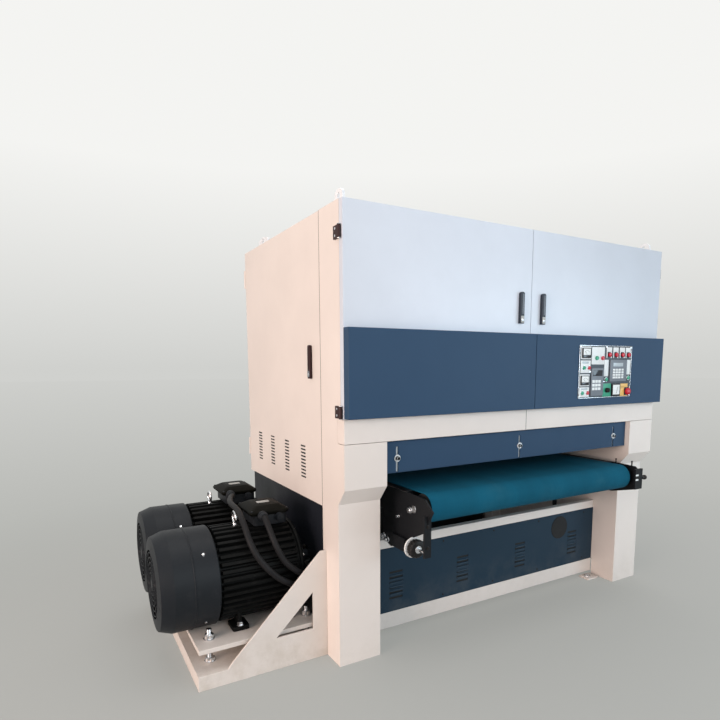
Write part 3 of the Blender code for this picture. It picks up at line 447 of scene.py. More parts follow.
def refined(node, width, segments=2, angle=32.0, material=None):
    # the node's own shape with its outer edges rounded, standing for the node
    bm = bmesh.new()
    bm.from_mesh(nodes[node].data)
    bmesh.ops.remove_doubles(bm, verts=bm.verts, dist=1e-5)
    bmesh.ops.dissolve_limit(bm, angle_limit=math.radians(0.6), verts=bm.verts, edges=bm.edges)
    bm.normal_update()
    weight = bm.edges.layers.float.new("bevel_weight_edge")
    for edge in bm.edges:
        if edge.is_manifold and edge.calc_face_angle_signed(0.0) > math.radians(angle):
            edge[weight] = 1.0
    mesh = bpy.data.meshes.new(node + "_shape")
    bm.to_mesh(mesh)
    bm.free()
    stored = mesh.attributes.get("custom_normal")
    if stored:
        mesh.attributes.remove(stored)   # the loaded triangles' normals don't fit the joined faces
    piece = finishPiece(mesh, node + "_shape", material or finishes[slotOf[node]], bodyOf[node], angle)
    soften = piece.modifiers.new("softEdges", "BEVEL")
    soften.width, soften.segments, soften.limit_method = width, segments, "WEIGHT"
    soften.harden_normals = True
    soften.use_clamp_overlap = True
    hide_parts(node)
    return piece


for node, item in nodes.items():
    item.data.materials.clear()
    item.data.materials.append(finishes[slotOf[node]])
    item.data.shade_smooth()

sheetEdges = {"left_side_frame": 0.004, "right_side_frame": 0.004, "front_beam": 0.002, "base_frame": 0.003,
              "lower_front_panel": 0.0012, "rear_cover": 0.002, "roof_panel": 0.002,
              "left_lower_panel": 0.001, "right_lower_panel": 0.001, "front_left_door": 0.0012,
              "front_right_door": 0.0012, "front_left_apron": 0.003, "front_right_apron": 0.003,
              "left_side_door": 0.0012, "right_side_door": 0.0012, "front_guard": 0.0012,
              "motor_mount": 0.0018, "left_cheek": 0.0012, "right_cheek": 0.0012, "table_bed": 0.0015,
              "head_frame_front": 0.003, "head_frame_rear": 0.003, "front_left_hinge_lower": 0.0015,
              "front_left_hinge_upper": 0.0015, "front_right_hinge_lower": 0.0015,
              "front_right_hinge_upper": 0.0015, "guard_rail": 0.0008}
ownPaint = {"left_lower_panel": "sidePanelPaintedShade", "right_lower_panel": "sidePanelPaintedShade",
            "lower_front_panel": "lowNavyPaintedShade", "front_left_hinge_lower": "hingeBrown",
            "front_left_hinge_upper": "hingeBrown", "front_right_hinge_lower": "hingeBrown",
            "front_right_hinge_upper": "hingeBrown", "motor_mount": "mountDustAndShade"}
for node, width in sheetEdges.items():
    refined(node, width, material=extras.get(ownPaint.get(node)))
print("sheet metal softened:", len(sheetEdges))


motorLook = {"fins": 40, "finDepth": 0.020, "finRoot": 0.030, "barrelLong": 0.393, "bevelLong": 0.060,
             "sheet": 0.003, "grilleRings": 6, "grilleBars": 12, "boltTurns": (0.74, 2.40, 3.90, 5.53),
             "shieldBolts": 8, "footX": (-0.475, -0.255), "eyeX": -0.440, "eyeSeat": 0.598}


def motorPlace(which):
    # axis, outer radius and ends of a motor, read from its solids
    low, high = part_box("motor_" + which)
    coverLow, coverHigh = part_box("fan_cover_" + which)
    return {"low": low, "high": high, "y": (coverLow.y + coverHigh.y) / 2,
            "z": (coverLow.z + coverHigh.z) / 2,
            "radius": (coverHigh.z - coverLow.z) / 2 / math.cos(math.pi / 20), "coverLeft": coverLow.x,
            "coverRight": coverHigh.x, "right": low.x + motorLook["barrelLong"]}


def fanCover(which, m):
    # straight barrel with a pressed bead, bevelled shoulder, shallow dome with a round opening
    radius, left, right = m["radius"], m["coverLeft"], m["coverRight"]
    wall, start = motorLook["sheet"], left + motorLook["bevelLong"]
    bead = start + 0.083
    outer = [(right, radius - 0.0006), (right - 0.0015, radius)]
    outer += [(bead + 0.0035 * math.cos(t), radius + 0.0024 * math.sin(t)) for t in np.linspace(0, np.pi, 7)]
    outer += [(start + 0.0012, radius), (start - 0.0012, radius - 0.0006), (start - 0.0515, radius - 0.0190),
              (start - 0.0530, radius - 0.0215), (left, radius * 0.67)]
    inner = [(left + wall, radius * 0.67), (start - 0.0505, radius - 0.026), (start, radius - wall),
             (right, radius - wall)]
    cover = spin("fanCover_" + which, "x", (m["y"], m["z"]), outer + inner, finishes["motor_black"],
                 "frame", 96, closed=True, angle=12.0)
    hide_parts("fan_cover_" + which)


def fanGrille(which, m):
    # wire rings and bars over the cover's opening, with a pressed hub
    y, z, radius, left = m["y"], m["z"], m["radius"], m["coverLeft"]
    black = finishes["motor_black"]
    for k in range(motorLook["grilleRings"]):
        ringR = radius * (0.12 + 0.50 * k / (motorLook["grilleRings"] - 1))
        turn = np.linspace(0, 2 * np.pi, 48, endpoint=False)
        path = np.stack([np.full(48, left + 0.003), y + ringR * np.cos(turn), z + ringR * np.sin(turn)], -1)
        tube("fanGrilleRing_%s_%d" % (which, k), path, 0.0024, black, "frame", 8, closed=True)
    for k in range(motorLook["grilleBars"]):
        t = 2 * math.pi * k / motorLook["grilleBars"]
        path = [(left + 0.0045, y + r * math.cos(t), z + r * math.sin(t)) for r in (0.02, radius * 0.62)]
        tube("fanGrilleBar_%s_%d" % (which, k), path, 0.0022, black, "frame", 8)
    spin("fanHub_" + which, "x", (y, z), [(left + 0.001, 0.0), (left + 0.001, 0.022), (left + 0.006, 0.026),
                                          (left + 0.008, 0.0)], black, "frame", 32, slot="motor_black")


def coverBolts(which, m):
    # bolts standing square to the cover, each made at the origin and carried to its place on the barrel
    for t in motorLook["boltTurns"]:
        outward = Vector((0, math.cos(t), math.sin(t)))
        middle = (m["coverRight"] - 0.055, m["y"] + m["radius"] * math.cos(t),
                  m["z"] + m["radius"] * math.sin(t))
        place = Matrix.Translation(middle) @ outward.to_track_quat("Z", "Y").to_matrix().to_4x4()
        bolt = hexHead("coverBolt_%s_%d" % (which, round(t * 100)), "z", (0, 0), -0.001, 0.004, 0.011,
                       extras["brightSteel"], "frame", washer=0.009)
        bolt.data.transform(place)


def statorBarrel(which, m):
    # fins stand out where the section's radius follows a steep-sided wave
    root, left, right = m["radius"] - motorLook["finRoot"], m["low"].x + 0.012, m["right"]
    turn = np.linspace(0, 2 * np.pi, motorLook["fins"] * 10, endpoint=False)
    wave = np.clip(np.cos(turn * motorLook["fins"]) * 3.2 + 0.2, -1, 1) * 0.5 + 0.5
    finR = root + (motorLook["finDepth"] + 0.003) * wave
    rings = []
    for along, share in ((left, 0.0), (left + 0.012, 0.0), (left + 0.016, 0.92), (left + 0.020, 1.0),
                         (right - 0.020, 1.0), (right - 0.016, 0.92), (right - 0.012, 0.0), (right, 0.0)):
        r = root + (finR - root) * share
        rings.append(inPlane("x", np.stack([m["y"] + r * np.cos(turn), m["z"] + r * np.sin(turn)], -1),
                             along))
    barrel = loft("motorBarrel_" + which, rings, extras["barrelBlack"], "frame")
    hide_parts("motor_" + which)


def endShields(which, m):
    # a rim under the fan cover, and a stepped drive-end shield with its bearing boss and a circle of bolts
    y, z, radius, rear, right = m["y"], m["z"], m["radius"], m["low"].x, m["right"]
    root = radius - motorLook["finRoot"]
    spin("motorRearShield_" + which, "x", (y, z), [(rear, 0.0309), (rear, radius - 0.012),
                                                   (rear + 0.004, radius - 0.0036),
                                                   (rear + 0.014, radius - 0.0036),
                                                   (rear + 0.018, radius - 0.014),
                                                   (rear + 0.024, root - 0.004), (rear + 0.024, 0.0309)],
         finishes["motor_black"], "frame", 80, closed=True, slot="motor_black")
    drive = [(right - 0.002, 0.031), (right - 0.002, root + 0.010), (right + 0.006, root + 0.013),
             (right + 0.014, root + 0.010), (right + 0.022, root - 0.030), (right + 0.030, 0.125),
             (right + 0.036, 0.110), (right + 0.050, 0.078), (right + 0.054, 0.070), (right + 0.054, 0.031)]
    spin("motorDriveShield_" + which, "x", (y, z), drive, extras["barrelBlack"], "frame", 80, closed=True,
         slot="motor_black")
    for k in range(motorLook["shieldBolts"]):
        t = 2 * math.pi * (k + 0.5) / motorLook["shieldBolts"]
        centre = (y + (root - 0.012) * math.cos(t), z + (root - 0.012) * math.sin(t))
        hexHead("shieldBolt_%s_%d" % (which, k), "x", centre, right + 0.016, 0.008, 0.014,
                extras["brightSteel"], "frame", washer=0.011)


def motorFeet(which, m):
    # cast feet with their webs and holding-down bolts
    y, sole, body = m["y"], m["low"].z, extras["barrelBlack"]
    for side in (-1, 1):
        for k, x in enumerate(motorLook["footX"]):
            tag = "_%s_%d_%d" % (which, side + 1, k)
            slab("motorFoot" + tag, "z", (x - 0.038, y + side * 0.130 - 0.048, sole),
                 (x + 0.038, y + side * 0.130 + 0.048, sole + 0.020), body, "frame", 0.012, 0.003)
            slab("motorWeb" + tag, "x", (x - 0.009, y + side * 0.118 - 0.040, sole + 0.012),
                 (x + 0.009, y + side * 0.118 + 0.034, sole + 0.085), body, "frame", 0.012, 0.003)
            hexHead("footBolt" + tag, "z", (x, y + side * 0.158), sole + 0.020, 0.014, 0.024,
                    extras["brightSteel"], "frame", washer=0.018)


boxLook = {"left": -0.397, "right": -0.207, "halfWide": 0.105, "neckTop": 0.612, "caseFoot": 0.604,
           "screwX": 0.084, "screwY": 0.094,
           "lidSteps": ((0.010, -0.044), (0.003, -0.038), (0.0, -0.032), (0.0, -0.026), (0.004, -0.021),
                        (0.034, -0.004), (0.040, -0.002))}


def terminalBox(which, m):
    # neck, drafted case, rolled lid with a bare plate and corner screws, and a blanked second cable entry
    black, y, top = finishes["motor_black"], m["y"], m["high"].z
    boxLow = Vector((boxLook["left"], y - boxLook["halfWide"], 0.0))
    boxHigh = Vector((boxLook["right"], y + boxLook["halfWide"], top))
    slab("terminalNeck_" + which, "z", (boxLow.x + 0.036, y - 0.066, m["z"] + 0.180),
         (boxHigh.x - 0.030, y + 0.070, boxLook["neckTop"]), black, "frame", 0.014, 0.004)
    slab("terminalCase_" + which, "z", (boxLow.x + 0.022, boxLow.y + 0.010, boxLook["caseFoot"]),
         (boxHigh.x - 0.010, boxHigh.y - 0.010, boxHigh.z - 0.036), black, "frame", 0.016, 0.006)
    lid = []
    for inset, height in boxLook["lidSteps"]:
        outline = roundedOutline((boxLow.x + inset, boxLow.y + inset), (boxHigh.x - inset, boxHigh.y - inset),
                                 0.016, 6)
        lid.append(inPlane("z", outline, boxHigh.z + height))
    loft("terminalLid_" + which, lid, extras["lidBrown"], "frame")
    spin("blankGland_" + which, "y", (boxHigh.x - 0.050, 0.640),
         [(boxLow.y + 0.012, 0.0), (boxLow.y + 0.012, 0.021), (boxLow.y + 0.002, 0.021),
          (boxLow.y - 0.001, 0.017), (boxLow.y - 0.010, 0.016), (boxLow.y - 0.012, 0.0)], black, "frame",
         24, slot="motor_black")
    middleX = (boxLow.x + boxHigh.x) / 2
    for sx in (-1, 1):
        for sy in (-1, 1):
            centre = (middleX + sx * boxLook["screwX"], y + sy * boxLook["screwY"])
            spin("lidScrew_%s_%d%d" % (which, sx + 1, sy + 1), "z", centre,
                 [(boxHigh.z - 0.026, 0.0), (boxHigh.z - 0.026, 0.0055), (boxHigh.z - 0.018, 0.005),
                  (boxHigh.z - 0.017, 0.0)], black, "frame", 20)
    slab("lidPlate_" + which, "z", (middleX - 0.030, y - 0.016, boxHigh.z - 0.004),
         (middleX + 0.030, y + 0.016, boxHigh.z - 0.0008), extras["tagPlate"], "frame", 0.003, 0.0004)


def eyeBolt(which, y):
    # lifting ring of round bar over a stepped neck
    x, seat = motorLook["eyeX"], motorLook["eyeSeat"]
    turn = np.linspace(0, 2 * np.pi, 40, endpoint=False)
    ring = np.stack([x + 0.0 * turn, y + 0.026 * np.cos(turn), seat + 0.040 + 0.026 * np.sin(turn)], -1)
    tube("eyeBolt_" + which, ring, 0.0065, extras["brightSteel"], "frame", 14, closed=True)
    spin("eyeBoltNeck_" + which, "z", (x, y), [(seat - 0.004, 0.0), (seat - 0.004, 0.019),
                                               (seat + 0.003, 0.019), (seat + 0.006, 0.011),
                                               (seat + 0.017, 0.009), (seat + 0.019, 0.0)],
         extras["brightSteel"], "frame", 32)


for which in ("front", "rear"):
    m = motorPlace(which)
    for detail in (fanCover, fanGrille, coverBolts, statorBarrel, endShields, motorFeet, terminalBox):
        detail(which, m)
    eyeBolt(which, m["y"])
print("motors detailed")


def leadRoute(points, count=90):
    # smooth curve through the route's own points (Catmull-Rom)
    points = [points[0]] + list(points) + [points[-1]]
    spans = len(points) - 3
    place = np.linspace(0, spans, count)
    k = np.minimum(place.astype(int), spans - 1)
    t = (place - k)[:, None]
    p = np.asarray(points, float)
    a, b, c, d = p[k], p[k + 1], p[k + 2], p[k + 3]
    return 0.5 * (2 * b + (c - a) * t + (2 * a - 5 * b + 4 * c - d) * t ** 2
                  + (3 * b - a - 3 * c + d) * t ** 3)


datum = Vector((-0.105, -0.140, 0.0))   # left side plane, door plane and floor seen from the part's origin
machine = {"width": 2.110, "passLine": 0.862, "motorZ": 0.390, "headY": {"front": 0.420, "rear": 0.860},
           "motorY": {"front": 0.476, "rear": 0.950},
           "pressureY": {"front": 0.270, "middle": 0.640, "rear": 1.020}}
leadRoutes = {
    "front": ((-0.235, 0.3702, 0.655), (-0.235, 0.350, 0.655), (-0.2345, 0.330, 0.648),
              (-0.230, 0.295, 0.612), (-0.215, 0.255, 0.544), (-0.179, 0.236, 0.467),
              (-0.122, 0.232, 0.413), (-0.062, 0.236, 0.373), (-0.022, 0.240, 0.350),
              (-0.004, 0.240, 0.348), (0.0188, 0.240, 0.348)),
    "rear": ((-0.250, 0.8445, 0.660), (-0.250, 0.824, 0.660), (-0.254, 0.800, 0.662), (-0.286, 0.715, 0.672),
             (-0.322, 0.580, 0.680), (-0.328, 0.440, 0.676), (-0.333, 0.340, 0.641), (-0.324, 0.270, 0.563),
             (-0.293, 0.238, 0.493), (-0.229, 0.226, 0.415), (-0.156, 0.230, 0.362), (-0.088, 0.236, 0.325),
             (-0.036, 0.240, 0.302), (-0.008, 0.240, 0.298), (0.0188, 0.240, 0.298)),
}
for which, points in leadRoutes.items():
    route = leadRoute([Vector(p) + datum for p in points])
    lead = tube("motorLead_" + which, route, 0.0138, finishes["lead_rubber"], "frame", 20)
    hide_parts("motor_lead_" + which)
    start = route[0]
    spin("leadGland_" + which, "y", (start[0], start[2]),
         [(start[1] + 0.002, 0.0145), (start[1] + 0.002, 0.024), (start[1] - 0.010, 0.024),
          (start[1] - 0.013, 0.021), (start[1] - 0.024, 0.020), (start[1] - 0.030, 0.0165),
          (start[1] - 0.030, 0.0145)], finishes["motor_black"], "frame", 12, closed=True, angle=20.0)
    end = route[-1]
    spin("leadBush_" + which, "x", (end[1], end[2]), [(end[0], 0.0145), (end[0], 0.023),
                                                      (end[0] - 0.006, 0.023), (end[0] - 0.010, 0.018),
                                                      (end[0] - 0.010, 0.0145)], finishes["lead_rubber"],
         "frame", 32, closed=True)
print("leads placed")


def spot(x, y, z):
    # a place given from the datum
    return Vector((x, y, z)) + datum


def fromDatum(axis, centre, profile):
    # a turned piece's centre and profile, moved from the datum to the part's origin
    n, a, b = {"x": (0, 1, 2), "y": (1, 0, 2), "z": (2, 0, 1)}[axis]
    moved = [(along + datum[n], radius) for along, radius in profile]
    return (centre[0] + datum[a], centre[1] + datum[b]), moved


def turned(name, axis, centre, profile, material, body="frame", steps=64, closed=False, slot=None):
    # turned surface given from the datum
    return spin(name, axis, *fromDatum(axis, centre, profile), material, body, steps, closed, slot=slot)


def turnedNode(node, axis, centre, profile, steps=80, soft=0.0):
    # smooth turned surface standing for a node
    piece = turned(node + "_turned", axis, centre, profile, finishes[slotOf[node]], bodyOf[node], steps)
    if soft:
        bevel(piece, soft)
    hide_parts(node)
    return piece


def bevel(piece, width, angle=32.0, segments=2):
    # live rounding of every edge sharper than the angle
    soften = piece.modifiers.new("softEdges", "BEVEL")
    soften.width, soften.segments, soften.limit_method = width, segments, "ANGLE"
    soften.angle_limit, soften.harden_normals = math.radians(angle), True


def sleeve(name, node, axis, centre, profile, material, steps=64):
    # turned cover lying on a node, with its own finish
    return turned(name, axis, centre, profile, material, bodyOf[node], steps)


def beltLoop(node, axis, first, firstR, second, secondR, bands, low, steps=40):
    # endless belt round two pulleys: tangent loops at each place of the band's section.
    # bands is the section, as (across the belt from its low side, height over the pulleys)
    first, second = np.asarray(first), np.asarray(second)
    gap = second - first
    heading, reach = math.atan2(gap[1], gap[0]), math.hypot(*gap)

    def loop(rise):
        lean = math.acos((firstR - secondR) / reach)
        a = heading + lean + (2 * np.pi - 2 * lean) * np.linspace(0, 1, steps)
        b = heading - lean + 2 * lean * np.linspace(0, 1, steps)
        one = first + (firstR + rise) * np.stack([np.cos(a), np.sin(a)], -1)
        two = second + (secondR + rise) * np.stack([np.cos(b), np.sin(b)], -1)
        return np.concatenate([one, two])

    rings = [inPlane(axis, loop(rise), low + along) for along, rise in bands]
    piece = loft(node + "_loop", np.array(rings) + np.array(datum), finishes[slotOf[node]], bodyOf[node],
                 False, True, angle=30.0)
    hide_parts(node)
    return piece


table = {"beltLeft": 0.363, "beltWidth": 1.379, "beltThick": 0.003, "rollerZ": 0.70841, "loopR": 0.06459,
         "rollerY": (("feed_roller_front", -0.058), ("feed_roller_rear", 1.200)), "cheekFace": 0.314,
         "rightFace": 1.796, "takeUp": ((0.160, 0.512), (0.192, 0.522)),
         "cheekBolts": (("cheekBolt", -0.026, 0.698, 0.024), ("cheekScrew", 0.068, 0.648, 0.013)),
         "rearBoltY": (1.060, 1.145), "stopScrewZ": (0.560, 0.655), "slotZ": (0.699, 0.725),
         "pinY": (0.004, -0.098)}
width, thick = table["beltWidth"], table["beltThick"]
frontY, rearY = (y for _, y in table["rollerY"])
beltLoop("feed_belt", "x", (frontY, table["rollerZ"]), table["loopR"], (rearY, table["rollerZ"]),
         table["loopR"], [(0, 0), (0, thick * 0.6), (0.0012, thick), (width - 0.0012, thick),
                          (width, thick * 0.6), (width, 0)], table["beltLeft"], 60)
for name, y in table["rollerY"]:
    turnedNode(name, "x", (y, table["rollerZ"]), [(0.312, 0.018), (0.366, 0.018), (0.366, 0.0635),
                                                  (1.739, 0.0635), (1.739, 0.018), (1.798, 0.018)],
               soft=0.001)
    for side, x, out in (("left", 0.3135, -1), ("right", 1.7965, 1)):
        sleeve(name + "_end_" + side, name, "x", (y, table["rollerZ"]),
               [(x, 0.0), (x, 0.0172), (x + out * 0.0022, 0.0165), (x + out * 0.0024, 0.0)],
               extras["brightSteel"], 40)

knobLook = {"x": 0.318, "z": 0.532, "lobes": 18, "lobeHigh": 0.0016, "marks": 24, "markR": 0.0446}


def trackingKnob():
    # lobed grip, whose rim swells and falls all round; then spindle end, hub and marked dial
    centre = (knobLook["x"], knobLook["z"])
    turn = np.linspace(0, 2 * np.pi, 96, endpoint=False)
    lobes = knobLook["lobeHigh"] * np.cos(turn * knobLook["lobes"])
    rings = []
    for along, radius, wave in ((-0.088, 0.010, 0), (-0.088, 0.0335, 0.3), (-0.0855, 0.038, 0.8),
                                (-0.081, 0.0405, 1), (-0.060, 0.0405, 1), (-0.0555, 0.038, 0.8),
                                (-0.052, 0.033, 0.3), (-0.052, 0.0145, 0), (-0.006, 0.014, 0),
                                (-0.006, 0.0068, 0), (0.098, 0.0068, 0)):
        r = radius + lobes * wave
        rings.append(np.stack([centre[0] + r * np.cos(turn), np.full(96, along),
                               centre[1] + r * np.sin(turn)], -1))
    rings = np.array(rings) + np.array(datum)
    knob = loft("trackingKnobShape", rings, finishes["black_plastic"], "tracking_knob")
    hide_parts("tracking_knob")
    sleeve("knobSpindleEnd", "tracking_knob", "y", centre,
           [(-0.158, 0.0), (-0.158, 0.006), (-0.157, 0.0072), (-0.088, 0.0072), (-0.088, 0.0)],
           extras["brightSteel"], 32)
    sleeve("knobHub", "tracking_knob", "y", centre, [(-0.0905, 0.0074), (-0.0905, 0.016), (-0.0895, 0.017),
                                                     (-0.087, 0.017), (-0.087, 0.0074)],
           extras["brightSteel"], 40)
    sleeve("knobDial", "tracking_knob", "y", centre, [(-0.0505, 0.0144), (-0.0515, 0.0160),
                                                      (-0.0515, 0.0455), (-0.0500, 0.0470),
                                                      (-0.0445, 0.0470), (-0.0440, 0.0455),
                                                      (-0.0440, 0.0144)], extras["whitePlate"], 72)
    for k in range(knobLook["marks"]):
        t = 2 * math.pi * k / knobLook["marks"]
        x, y = centre[0] + knobLook["markR"] * math.cos(t), -0.0516
        z = centre[1] + knobLook["markR"] * math.sin(t)
        slab("dialMark_%d" % k, "y", spot(x - 0.0006, y - 0.0002, z - 0.0006),
             spot(x + 0.0006, y + 0.0001, z + 0.0006), extras["shadowBlack"], "tracking_knob", 0.0004,
             0.0001, steps=2)


def tableBolt(name, axis, centre, along, out, across, material=extras["brightSteel"], washer=0.013):
    # bolt on the feed table, measured from the datum
    middle, ((start, _),) = fromDatum(axis, centre, [(along, 0.0)])
    hexHead(name, axis, middle, start, out, across, material, "feed_table", washer=washer)


trackingKnob()
# take-up screws on the cheek's outer face, cheek bolts and the stop bar's screws
face = table["cheekFace"]
for k, (y, z) in enumerate(table["takeUp"]):
    tableBolt("takeUpNut_%d" % k, "x", (y, z), face, -0.016, 0.022, washer=0.0155)
    turned("takeUpScrew_%d" % k, "x", (y, z), [(0.2945, 0.0), (0.295, 0.005), (face - 0.0005, 0.006),
                                               (face - 0.0005, 0.0)], extras["brightSteel"], "feed_table",
           24)
for name, y, z, size in table["cheekBolts"]:
    tableBolt(name, "x", (y, z), face, -0.011, size, washer=size * 0.62)
for z in table["stopScrewZ"]:
    tableBolt("stopBarScrew_%d" % round(z * 1000), "y", (0.316, z), -0.160, -0.006, 0.012,
              finishes["black_plastic"], 0.009)
# bright strip along the cheek's top, a painted highlight of its edge, and the bolts of the rear take-up
# blocks
slab("cheekTopHighlight", "x", spot(0.3144, 0.004, 0.7738), spot(0.3216, 1.250, 0.7745), extras["brightSteel"],
     "feed_table", 0.0004, 0.0001)
for side, x, out in (("left", face, -1), ("right", table["rightFace"], 1)):
    for y in table["rearBoltY"]:
        tableBolt("rearCheekBolt_%s_%d" % (side, round(y * 1000)), "x", (y, 0.700), x, out * 0.010, 0.019)
for k, z in enumerate(table["slotZ"]):
    slab("bracketSlot_%d" % k, "y", spot(1.753, -0.1530, z - 0.005), spot(1.778, -0.1518, z + 0.005),
         extras["whitePlate"], "feed_table", 0.0045, 0.0004)
# adjusting stub on the bracket's right, and two cover pins over the right cheek
turned("bracketStub", "x", (-0.146, 0.706), [(1.8142, 0.0), (1.8142, 0.009), (1.834, 0.009), (1.836, 0.013),
                                             (1.846, 0.013), (1.848, 0.0)], finishes["black_plastic"],
       "feed_table", 32)
for k, y in enumerate(table["pinY"]):
    turned("cheekPin_%d" % k, "z", (1.792, y), [(0.7685, 0.0), (0.7685, 0.0034), (0.790, 0.0034),
                                                (0.791, 0.0050), (0.797, 0.0050), (0.798, 0.0)],
           finishes["black_plastic"], "feed_table", 20)
print("feed table detailed")


heads = {"abrasiveR": 0.10154, "tensionZ": 1.620, "abrasiveWide": 1.322, "abrasiveLeft": 0.379,
         "beltThick": 0.0015, "pressureR": 0.030, "ribs": 5, "ribPitch": 0.0138}
drumZ = machine["passLine"] + heads["beltThick"] + heads["abrasiveR"]
clear = 1 / math.cos(math.pi / 20)   # the CAD's rollers have twenty sides; the belts clear their corners


def sandingHead(which):
    # contact drum, tension roller, abrasive belt, multi-rib drive belt and the motor's rotor
    y, motorAxis = machine["headY"][which], (machine["motorY"][which], machine["motorZ"])
    drum, rotor, tensionZ = "contact_drum_" + which, "rotor_" + which, heads["tensionZ"]
    turnedNode(drum, "x", (y, drumZ), [(0.060, 0.080), (0.140, 0.080), (0.140, 0.025), (0.375, 0.025),
                                       (0.375, 0.100), (1.705, 0.100), (1.705, 0.025), (1.814, 0.025)],
               soft=0.0012)
    sleeve(drum + "_journal", drum, "x", (y, drumZ), [(0.141, 0.0), (0.141, 0.0252), (0.374, 0.0252),
                                                      (0.374, 0.0)], extras["brightSteel"])
    sleeve(drum + "_pulleyFace", drum, "x", (y, drumZ), [(0.0592, 0.0), (0.0592, 0.078), (0.0600, 0.0795),
                                                         (0.0604, 0.0795), (0.0604, 0.0)],
           extras["brightSteel"])
    turnedNode("tension_roller_" + which, "x", (y, tensionZ),
               [(0.296, 0.020), (0.375, 0.020), (0.375, 0.075), (1.705, 0.075), (1.705, 0.020),
                (1.814, 0.020)], soft=0.001)
    wide, thick = heads["abrasiveWide"], heads["beltThick"]
    beltLoop("abrasive_belt_" + which, "x", (y, drumZ), heads["abrasiveR"], (y, tensionZ),
             0.0750 * clear + 0.0003, [(0, 0), (0, thick), (wide, thick), (wide, 0)], heads["abrasiveLeft"])
    # the drive belt's outer face steps down between the single ribs
    ribs = [(0.0, 0.0), (0.0, 0.0072)]
    for k in range(heads["ribs"]):
        a = 0.0005 + heads["ribPitch"] * k
        ribs += [(a, 0.008), (a + 0.0124, 0.008), (a + 0.0129, 0.0045), (a + 0.0133, 0.0045)]
    ribs += [(0.070, 0.0072), (0.070, 0.0)]
    beltLoop("drive_belt_" + which, "x", motorAxis, 0.090 * clear + 0.0003, (y, drumZ),
             0.080 * clear + 0.0003, ribs, 0.065, 28)
    turnedNode(rotor, "x", motorAxis, [(-0.640, 0.060), (-0.637, 0.150), (-0.630, 0.185), (-0.600, 0.185),
                                       (-0.590, 0.060), (-0.560, 0.030), (0.060, 0.030), (0.060, 0.090),
                                       (0.140, 0.090)], soft=0.001)
    sleeve("fanWheel_" + which, rotor, "x", motorAxis, [(-0.6415, 0.0), (-0.6415, 0.062), (-0.6385, 0.151),
                                                        (-0.6312, 0.1862), (-0.6295, 0.1862),
                                                        (-0.6295, 0.0)], finishes["black_plastic"])
    sleeve("shaftCover_" + which, rotor, "x", motorAxis, [(-0.060, 0.0), (-0.060, 0.0303), (0.055, 0.0303),
                                                          (0.055, 0.0)], finishes["motor_black"])


def pressureRoller(which):
    # stepped roller between the heads, with its bright shaft ends
    roller = "pressure_roller_" + which
    centre = (machine["pressureY"][which], machine["passLine"] + 0.0005 + heads["pressureR"])
    turnedNode(roller, "x", centre, [(0.185, 0.012), (0.375, 0.012), (0.375, 0.030), (1.705, 0.030),
                                     (1.705, 0.012), (1.925, 0.012)], 48, soft=0.0008)
    for side, x0, x1 in (("left", 0.2105, 0.3745), ("right", 1.7055, 1.8995)):
        sleeve("pressureShaft_%s_%s" % (which, side), roller, "x", centre,
               [(x0, 0.0), (x0, 0.0122), (x1, 0.0122), (x1, 0.0)], extras["brightSteel"], 32)


for which in machine["headY"]:
    sandingHead(which)
for which in machine["pressureY"]:
    pressureRoller(which)
print("sanding heads detailed")


guardLook = {"boltZ": 0.928, "slotX": (0.282, 1.035, 1.790), "padHalf": 0.010}
bar = slab("guardBar", "y", spot(0.2103, 0.0383, 0.900), spot(1.8997, 0.059, 1.005),
           finishes["ground_steel"], "frame", 0.002, 0.0008)
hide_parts("guard_rail")
for k, x in enumerate(guardLook["slotX"]):
    slab("guardPad_%d" % k, "y", spot(x - guardLook["padHalf"], 0.03805, 0.866),
         spot(x + guardLook["padHalf"], 0.0382, 0.985), extras["whitePlate"], "frame", 0.002, 0.00005)
    centre = (x, guardLook["boltZ"])
    turned("guardShank_%d" % k, "y", centre, [(0.0275, 0.0), (0.0275, 0.0052), (0.0385, 0.0052),
                                              (0.0385, 0.0)], extras["brightSteel"], steps=32)
    turned("guardWasher_%d" % k, "y", centre, [(0.0270, 0.0), (0.0270, 0.0152), (0.0276, 0.0160),
                                               (0.0296, 0.0160), (0.0296, 0.0)], extras["whitePlate"],
           steps=48)
    turned("guardBolt_%d" % k, "y", centre, [(0.0170, 0.0), (0.0170, 0.0070), (0.0180, 0.0088),
                                             (0.0268, 0.0092), (0.0268, 0.0)], finishes["black_plastic"],
           steps=40)


doorLook = {"gripRound": 0.005, "sideProud": 0.0146, "seamWide": 0.0034, "lockR": 0.0072,
            "frontLocks": (("left", 0.981), ("right", 1.129)), "frontLockZ": 1.561,
            "sideLock": (0.321, 1.299), "hingeY": 0.014, "hingeHigh": 0.052,
            "hingeX": (("left", -0.008, -0.0100, -1), ("right", 2.118, 2.1200, 1)),
            "hingeZ": (("lower", 1.120), ("upper", 1.845)), "screwRise": (0.012, 0.040)}
sides = (("left", 0.0, -1), ("right", machine["width"], 1))   # side plane and the way out of it


def lock(node, axis, centre, face, out):
    # bright cylinder lock with a rounded rim, 2.2 mm proud of the grip
    rim = doorLook["lockR"]
    sleeve(node + "_lock", node, axis, centre, [(face + out * 0.0022, 0.0),
                                                (face + out * 0.0022, rim - 0.0010),
                                                (face + out * 0.0016, rim), (face, rim), (face, 0.0)],
           extras["brightSteel"], 40)


